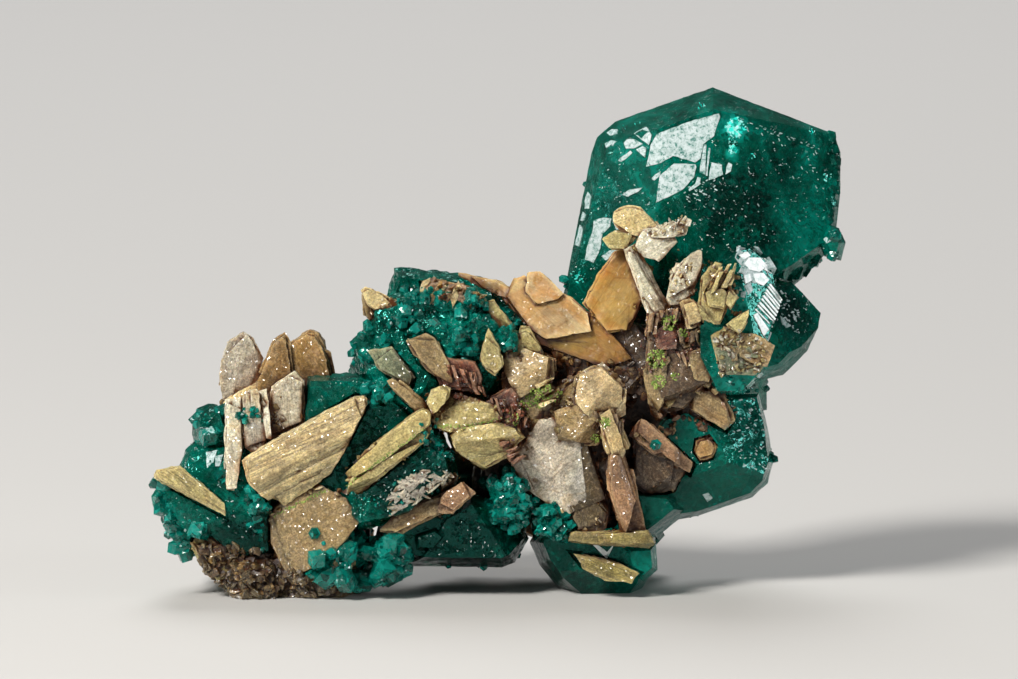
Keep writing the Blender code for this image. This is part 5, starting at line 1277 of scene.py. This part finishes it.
# These grew over the edge of the tan blades as well
overgrown = [
    # (outline, count, (least, most) size, lean)
    ([(-16.4, 5.4), (-12, 5.6), (-9.6, 6.4), (-9.4, 2), (-13, 0.9), (-19, 1.4), (-18.4, 3.4)], 70,
        (0.7, 2.6), 0.4),
    ([(-16.4, 5), (-10, 6), (-9.8, 1.6), (-18.6, 1.4)], 60, (0.3, 0.8), 0.7),
    ([(-25.6, 10), (-23.8, 9), (-23.2, 4), (-24.4, 4)], 22, (0.3, 0.9), 0.6),
    ([(-27.2, 18.4), (-23.6, 19.2), (-23.4, 17), (-26.4, 17)], 14, (0.3, 0.8), 0.6),
    ([(-8, 17.4), (-6.4, 17.4), (-5.6, 15.6), (-8, 15)], 16, (0.2, 0.6), 0.6),
    ([(-1.6, 11.6), (1, 12.4), (2.6, 11), (-1.6, 10.2)], 26, (0.4, 1.1), 0.6),
]
for outline, count, sizes, lean in overgrown:
    druse.sprinkle(outline, count, sizes, lean, 0.4)
druse.strew([skins[name] for name in DIOPTASE], 700, (0.25, 0.9), 0.7)
druse.strew([skins["base_blades"], skins["middle_blades"]], 160, (0.3, 1.2), 0.6)
# single crystals on the blades: the square one on the ledge, one on the beam and those beside the saddle
lone_crystals = [
    # (across, up, width)
    (-18.5, 6, 1.25), (-17.6, 4.9, 0.5), (15.5, 14.7, 1.2), (-14.6, 24.8, 1.1), (-13.8, 25.6, 0.9),
    (-11.8, 20.2, 1.6), (-12.7, 19.7, 1.1), (-10.9, 19.9, 1.0), (33.6, 35.6, 1.4), (33.4, 33.9, 1.1),
]
for across, up, width in lone_crystals:
    found = seat(across, up)
    if found:
        druse.add(*found, (width * GRID, width * GRID, width * 0.7 * GRID), 0.15, 0.35)
druse.finish("teal_druse", teal, "dioptase")

# Painted glints: tiny plates of bright cyan colour stand for cracks inside the crown that flash the light
# back, seen just under its faces
painted_cyan_finish = Finish("painted_inner_glints")
painted_cyan_finish.set(Base_Color=painted_cyan_finish.ramp(painted_cyan_finish.cells(0.00022), (0.3, (0.0, 0.35, 0.28)), (0.5, (0.02, 0.95, 0.80)),
                                (0.75, (0.45, 1.0, 0.95))),
          Roughness=0.2, IOR=1.67, Normal=painted_cyan_finish.faceted(0.00022, 0.5))
glints = Plates(37)
painted_glint_spots = [
    # (across, up, reach, count, (least, most) size)
    (23.56, 46.4, 0.95, 260, (0.06, 0.34)), (23.3, 44.2, 0.45, 60, (0.05, 0.20)),
    (23.4, 45.2, 0.6, 30, (0.03, 0.12)), (20.3, 48.6, 0.5, 10, (0.04, 0.14)),
    (31.4, 46.1, 0.3, 8, (0.05, 0.16)), (32.8, 41.5, 0.5, 14, (0.05, 0.2)),
    (25.4, 43.7, 0.4, 6, (0.04, 0.12)), (8, 31.6, 0.8, 26, (0.05, 0.2)),
    (10, 31, 0.6, 8, (0.04, 0.14)), (12.6, 46.4, 1.6, 10, (0.03, 0.1)),
]
for across, up, reach, count, sizes in painted_glint_spots:
    for _ in range(count):
        turn, out = glints.draw.uniform(0, 2 * pi), reach * glints.draw.random() ** 0.7
        spot = (across + out * cos(turn), up + out * sin(turn))
        glints.speckle_one(spot, sizes, glints.draw.uniform(0, 180), 1.3)
piece = finished(glints.mesh, "painted_inner_glints", painted_cyan_finish)

# The right edge of the crown broke off in steps
draw = random.Random(43)
steps = Grains([chip_shape(draw, part) for part in (0.5, 0.6, 0.8)], 44)
broken_edge = [
    # (across, up, width)
    (33.4, 45.6, 1.4), (33.6, 44.4, 1.3), (33.7, 43.1, 1.6), (33.7, 41.8, 1.2), (33.5, 40.4, 1.7),
    (33.5, 39, 1.4), (33.2, 38.2, 1.4), (32.9, 37.2, 1.6), (31.9, 33.2, 2.0), (31.2, 32.4, 1.8),
    (30.2, 32, 2.0), (29.4, 31.6, 1.7), (28.4, 31.8, 1.6), (30.8, 33.2, 1.4), (34, 42.5, 0.9),
    (34, 40.9, 0.8),
]
for across, up, width in broken_edge:
    found = seat(across, up, flat_faces)
    if found:
        away = (found[1] + 0.5 * Vector((1 if across > 20 else -1, 0, 0.2))).normalized()
        steps.add(found[0], away, (width * GRID, width * GRID, width * 0.9 * GRID), 0.25, 0.1)
steps.finish("crown_steps", dioptase, "dioptase")

# Clear colourless bits: the square grain at the end of the ribbed ledge, and glints in the wall
clear = Finish("clear_grains")
clear.set(Base_Color=(0.80, 0.84, 0.86), Roughness=0.12, IOR=1.6, Transmission_Weight=0.6,
          Normal=clear.faceted(0.0003, 0.3))
draw = random.Random(47)
bits = Grains([chip_shape(draw, 0.6) for _ in range(5)], 48)
found = seat(-14.2, 13.2)
bits.add(*found, (1.7 * GRID, 1.7 * GRID, 1.3 * GRID), 0.2, 0.2)
clear_patches = [
    # (outline, count, (least, most) size)
    ([(4, 12), (8, 16.5), (8.5, 12), (6, 9)], 40, (0.15, 0.5)),
    ([(-5, 13.2), (-1.6, 15), (-0.6, 13.4), (-2.6, 12)], 12, (0.15, 0.4)),
    ([(-26, 12), (-15, 18), (-14, 15), (-22, 9)], 34, (0.10, 0.28)),
    ([(6, 17.6), (9.6, 18), (9, 15.8), (6.4, 15.8)], 14, (0.2, 0.5)),
    ([(17, 33), (19.8, 34), (20, 30), (17.6, 29)], 20, (0.15, 0.4)),
    ([(14, 36.4), (18.6, 37.6), (17.6, 34.4), (14.4, 34)], 20, (0.12, 0.3)),
    ([(21.4, 25.4), (26.6, 24.8), (25.8, 22), (22, 22.2)], 26, (0.15, 0.4)),
    ([(-27.4, 19), (-20, 21), (-19.8, 16), (-26.6, 11)], 40, (0.12, 0.35)),
    ([(1, 23), (5, 23.4), (12, 21), (12, 18), (3, 20)], 24, (0.12, 0.35)),
]
for outline, count, sizes in clear_patches:
    bits.sprinkle(outline, count, sizes, 0.6, 0.4, 0.8)
bits.finish("clear_grains", clear, "pale_blades")

# Broken chips of the blades lie in every gap between them, stained like their neighbours
chips = Cluster(71)


def add_chip(point, normal, size, stain, lean, flat):
    """One chip on a surface, size GRID wide."""
    made = chip_shape(chips.draw, flat)
    turn = tumbled(normal, lean, chips.draw)
    for vertex in made.verts:
        vertex.co = view_place(point + (turn @ vertex.co) * size * GRID)
    chips.gather(made, STAINS[stain], chips.draw.uniform(0, 180), 0.2)


CHIPS_SHUT = 0.3
chip_patches = [
    # (outline, count, (least, most) size, stains, how shut in a place has to be where it isn't CHIPS_SHUT)
    ([(-22, 9.6), (-16, 11.4), (-14, 8), (-17, 3), (-22.6, 2.4), (-24, 6)], 60, (0.3, 1.0),
        ("tan", "cream", "honey")),
    # chips at the foot: dark umber and brown, partly painted shade
    ([(-30.4, 4.6), (-26, 4.6), (-22, 3.6), (-22, -0.6), (-26, -0.6), (-29, 1)], 130, (0.2, 1.4),
        ("umber", "umber", "brown", "umber", "honey"), 0.0),
    ([(-22, 2.0), (-13, 3.4), (-12.8, 0.2), (-22, -0.6)], 110, (0.2, 1.1),
        ("umber", "brown", "umber", "tan"), 0.0),
    ([(-28.6, 19.6), (-20, 20), (-20, 15), (-27.4, 15)], 46, (0.3, 1.1), ("cream", "white", "tan")),
    ([(-16, 12), (-8, 18.4), (-6, 16), (-14, 9)], 30, (0.2, 0.7), ("straw", "olive")),
    ([(-7.4, 20), (-0.6, 19.6), (3, 15), (-2, 12), (-7, 16)], 60, (0.2, 0.8), ("straw", "cream", "tan")),
    ([(-1, 24), (6, 24), (10, 20), (12, 16), (4, 16), (0, 19)], 130, (0.3, 1.2),
        ("cream", "straw", "tan", "brown")),
    ([(1.6, 14), (4, 18), (12, 18), (12, 6), (7, 6)], 110, (0.2, 0.8), ("white", "cream", "tan", "brown")),
    ([(5, 24.6), (13, 25), (16, 21), (13, 18), (9, 20)], 60, (0.3, 1.2), ("honey", "brown", "tan")),
    ([(16, 28), (22, 28), (23, 20), (21, 14), (16, 16), (14.6, 22)], 150, (0.3, 1.3),
        ("tan", "brown", "pink", "cream")),
    ([(12.4, 17), (20, 13), (18, 10), (13, 11)], 40, (0.2, 0.8), ("pink", "tan")),
    ([(19.6, 33.2), (24, 33), (24.4, 28), (20, 27)], 30, (0.2, 0.7), ("straw", "cream")),
    ([(21.0, 25.9), (23, 26.6), (27, 24.8), (26.2, 22), (22, 21.8)], 34, (0.3, 0.9),
        ("tan", "pale", "grey", "straw"), 0.0),
    ([(17, 33), (19.4, 34), (20, 30), (18, 28.8), (16.8, 30)], 14, (0.2, 0.7), ("pale", "cream"), 0.0),
    ([(14.4, 36.8), (18.8, 37.8), (18.6, 36), (15, 35.4)], 14, (0.2, 0.6), ("pale", "cream"), 0.0),
    ([(11, 37.6), (19, 37), (18, 34), (11, 34)], 40, (0.2, 0.7), ("cream", "straw")),
    ([(8, 30), (15.6, 32), (14, 26), (8.6, 25)], 18, (0.2, 0.6), ("honey", "orange")),
    ([(-4, 31.6), (3, 31.6), (14, 26), (13, 22), (2, 27)], 40, (0.2, 0.7), ("honey", "tan")),
    ([(-8, 31.2), (-1.4, 30), (-1.4, 29), (-8, 30)], 40, (0.2, 0.6), ("pink", "cream")),
    ([(-13.8, 30.4), (-10, 29.4), (-12.6, 27)], 24, (0.2, 0.7), ("cream", "tan")),
    ([(-12.6, 8.6), (-4.6, 11.4), (-4.8, 7.6), (-11.4, 5.6)], 36, (0.2, 0.8), ("tan", "pink")),
    ([(19.4, 15.6), (24, 15.8), (24, 13), (20, 13)], 20, (0.3, 0.8), ("honey", "tan")),
]
for outline, count, sizes, stains, *least in chip_patches:
    for across, up in places_in(outline, count * 3, chips.draw):
        found = seat(across, up)
        if found and shut_in(*found) >= (least[0] if least else CHIPS_SHUT):
            size = drawn_size(sizes, chips.draw)
            add_chip(*found, size, chips.draw.choice(stains), 0.6, 0.35)
for point, normal in strewn([skins["middle_blades"], skins["base_blades"]], 420, chips.draw):
    size = drawn_size((0.4, 2.0), chips.draw)
    add_chip(point, normal, size, chips.draw.choice(("tan", "cream", "brown", "honey")), 0.7, 0.3)
# a torn, lacy crust on the dark crystal at the front, and flat patches of it on other faces
scraps = []
scrap_regions = [
    # (region, count, stains, reach)
    ([(-11.6, 9.2), (-9.4, 11.4), (-7, 12.2), (-7.4, 11.2), (-9.4, 9.6)], 90, ("white", "pale", "pale"),
        0.6),
    ([(-9.8, 9.2), (-7, 11), (-6.4, 10.4), (-8.6, 8.8)], 30, ("white", "pale"), 0.6),
    ([(-7, 11.8), (-4.4, 12), (-4.6, 10.2), (-6.4, 10.6)], 34, ("white", "pale"), 0.6),
    ([(-11.6, 9), (-9.8, 9.4), (-9.4, 8.2), (-11, 8)], 12, ("white", "tan"), 0.6),
    ([(-7.8, 31), (-3, 30), (-1.6, 29.4), (-2.6, 29), (-7.4, 30.2)], 46, ("pink", "cream", "honey"), 1.2),
    ([(21.6, 25.6), (26, 25), (26, 22.6), (22, 23)], 30, ("tan", "cream", "umber"), 1.0),
    ([(21.4, 18.4), (23.8, 19.2), (24, 16.8), (21.8, 16.2)], 22, ("tan", "honey"), 0.9),
    ([(-13.8, 20.6), (-11, 21), (-10.6, 19.6), (-13.4, 19.4)], 8, ("straw", "white"), 0.6),
]
for region, count, stains, reach in scrap_regions:
    for across, up in places_in(region, count, chips.draw):
        turn, size = chips.draw.uniform(-0.6, 1.5), reach * chips.draw.uniform(0.3, 1.3)
        corners = [(size * cos(radians(60 * k)) * chips.draw.uniform(0.5, 1.2),
                    0.26 * size * sin(radians(60 * k)) * chips.draw.uniform(0.2, 1.5)) for k in range(6)]
        turned = [(across + x * cos(turn) - y * sin(turn), up + x * sin(turn) + y * cos(turn))
                  for x, y in corners]
        scraps.append((turned, chips.draw.choice(stains)))
for outline, stain in scraps:
    made = draped(outline, chips.draw, chips.draw.uniform(0.02, 0.12), chips.draw.uniform(0.08, 0.2), 0.16)
    if made:
        for vertex in made.verts:
            vertex.co = view_place(vertex.co)
        chips.gather(made, STAINS[stain], 30, 0.1)
piece = chips.finish("blade_chips", blade)
skins["blade_chips"] = piece
surfaces["blade_chips"] = surface_of([piece])

# Iron crust: red-brown flakes and ribs that fill the hollows between the blades
rust = Finish("iron_crust")
rust_tint = rust.ramp(rust.mix(0.5, rust.cells(0.0005), rust.cloud(0.0012, 5)),
                      (0.25, (0.028, 0.010, 0.008)), (0.5, (0.10, 0.028, 0.016)),
                      (0.72, (0.28, 0.075, 0.03)), (0.85, (0.42, 0.20, 0.12)))
rust.set(Base_Color=rust_tint, Roughness=0.30, IOR=1.8,
         Normal=rust.faceted(0.00016, 0.3, rust.bump(rust.cloud(0.0002, 4), 0.00004, 0.8)))
iron = Grains([chip_shape(draw, part) for part in (0.3, 0.4, 0.5, 0.6, 0.8)], 51)
iron_patches = [
    ([(-5.8, 22.4), (-2.6, 21.8), (-2, 20), (-4.6, 19.6)], 150, (0.2, 0.8)),
    ([(-1, 19.6), (2.8, 19.2), (2.4, 16), (-0.2, 16.2), (-1.4, 18)], 200, (0.2, 0.8)),
    ([(-4.6, 20), (-1, 19.8), (-1, 18.6), (-4, 19)], 30, (0.2, 0.6)),
    ([(-0.6, 14.8), (2, 15.6), (3, 14.4), (0.4, 12.4)], 80, (0.15, 0.5)),
    ([(9.6, 17.6), (12.2, 17.6), (13, 14.6), (10.8, 14)], 110, (0.15, 0.6)),
    ([(14, 27.6), (16.4, 28.8), (18.8, 28.4), (20, 24), (18.8, 20), (15.6, 20), (14.2, 23.6)], 380,
        (0.2, 0.8)),
    ([(17.6, 16.6), (21.4, 17.8), (21.6, 15.6), (18.4, 13.4)], 70, (0.2, 0.6)),
    ([(9, 23.2), (13.8, 26), (14.6, 23), (10.6, 21.4)], 50, (0.15, 0.4)),
    ([(4, 21.4), (6, 22), (6.2, 20.4), (4.6, 20)], 24, (0.15, 0.5)),
    ([(11, 12.4), (13, 13), (14, 8), (12.4, 8)], 24, (0.1, 0.35)),
]
for outline, count, sizes in iron_patches:
    iron.sprinkle(outline, count * 2, sizes, 0.8, 0.4, shut=0.35)
iron.strew([skins["middle_blades"]], 240, (0.2, 0.7), 0.8)
iron.finish("iron_crust", rust, "tan_blades")

# Lime-green crust: rounded grains in small tufts and along the cracks between the blades
lime = Finish("lime_crust")
lime_tint = lime.ramp(lime.mix(0.5, lime.cells(0.0003), lime.cloud(0.0008, 4)), (0.25, (0.05, 0.09, 0.012)),
                      (0.5, (0.19, 0.29, 0.04)), (0.75, (0.46, 0.56, 0.14)))
lime.set(Base_Color=lime_tint, Roughness=0.55, Normal=lime.bump(lime.cloud(0.0002, 4), 0.00003, 0.8))
ball = bmesh.new()
bmesh.ops.create_icosphere(ball, subdivisions=1, radius=0.5)
tufts = Grains([ball], 61)
tuft_spots = [
    # (across, up, reach, count)
    (16.9, 26.9, 0.9, 100), (15.6, 23.3, 1.1, 120), (15.8, 21, 0.8, 60), (18.3, 26, 0.5, 30),
    (3.6, 19.4, 1.1, 120), (2.4, 18.7, 0.6, 30), (10.5, 17, 0.6, 34), (9.6, 15.4, 0.5, 24),
    (17.5, 21.6, 0.5, 20), (5.6, 19.4, 0.9, 24), (1.2, 17.4, 0.9, 24), (4.8, 20.4, 0.5, 20),
]
for across, up, reach, count in tuft_spots:
    ring = [(across + reach * cos(radians(60 * k)), up + reach * sin(radians(60 * k))) for k in range(6)]
    tufts.sprinkle(ring, count, (0.12, 0.34), 0.3, 0.1)
lime_cracks = [
    # (start, end, count)
    ((-6.6, 16.6), (-3, 16.6), 50), ((-3, 16.6), (0.2, 17.4), 40), ((-15.4, 10.6), (-7.4, 16.4), 110),
    ((-22.7, 7.5), (-19.6, 9.1), 36), ((-19.6, 9.1), (-17, 10.4), 36),
]
for start, end, count in lime_cracks:
    for step in range(count):
        share = (step + tufts.draw.random()) / count
        found = seat(start[0] + share * (end[0] - start[0]) + tufts.draw.uniform(-0.12, 0.12),
                     start[1] + share * (end[1] - start[1]) + tufts.draw.uniform(-0.18, 0.18))
        if found:
            tufts.add(*found, (GRID * tufts.draw.uniform(0.10, 0.26),) * 3, 0.3, 0.2)
tufts.strew([skins["middle_blades"]], 120, (0.14, 0.34), 0.3, 0.1)
tufts.finish("lime_crust", lime, "tan_blades")

# Painted shade with brown stain in the hollows of the blades: how shut in each point is, from 0 to 1, is kept
# on the points
everything = surface_of(skins.values())
for name, piece in skins.items():
    if name not in DIOPTASE:
        keep(piece, "hollow", [shut_in(vertex.co, vertex.normal) for vertex in piece.data.vertices])
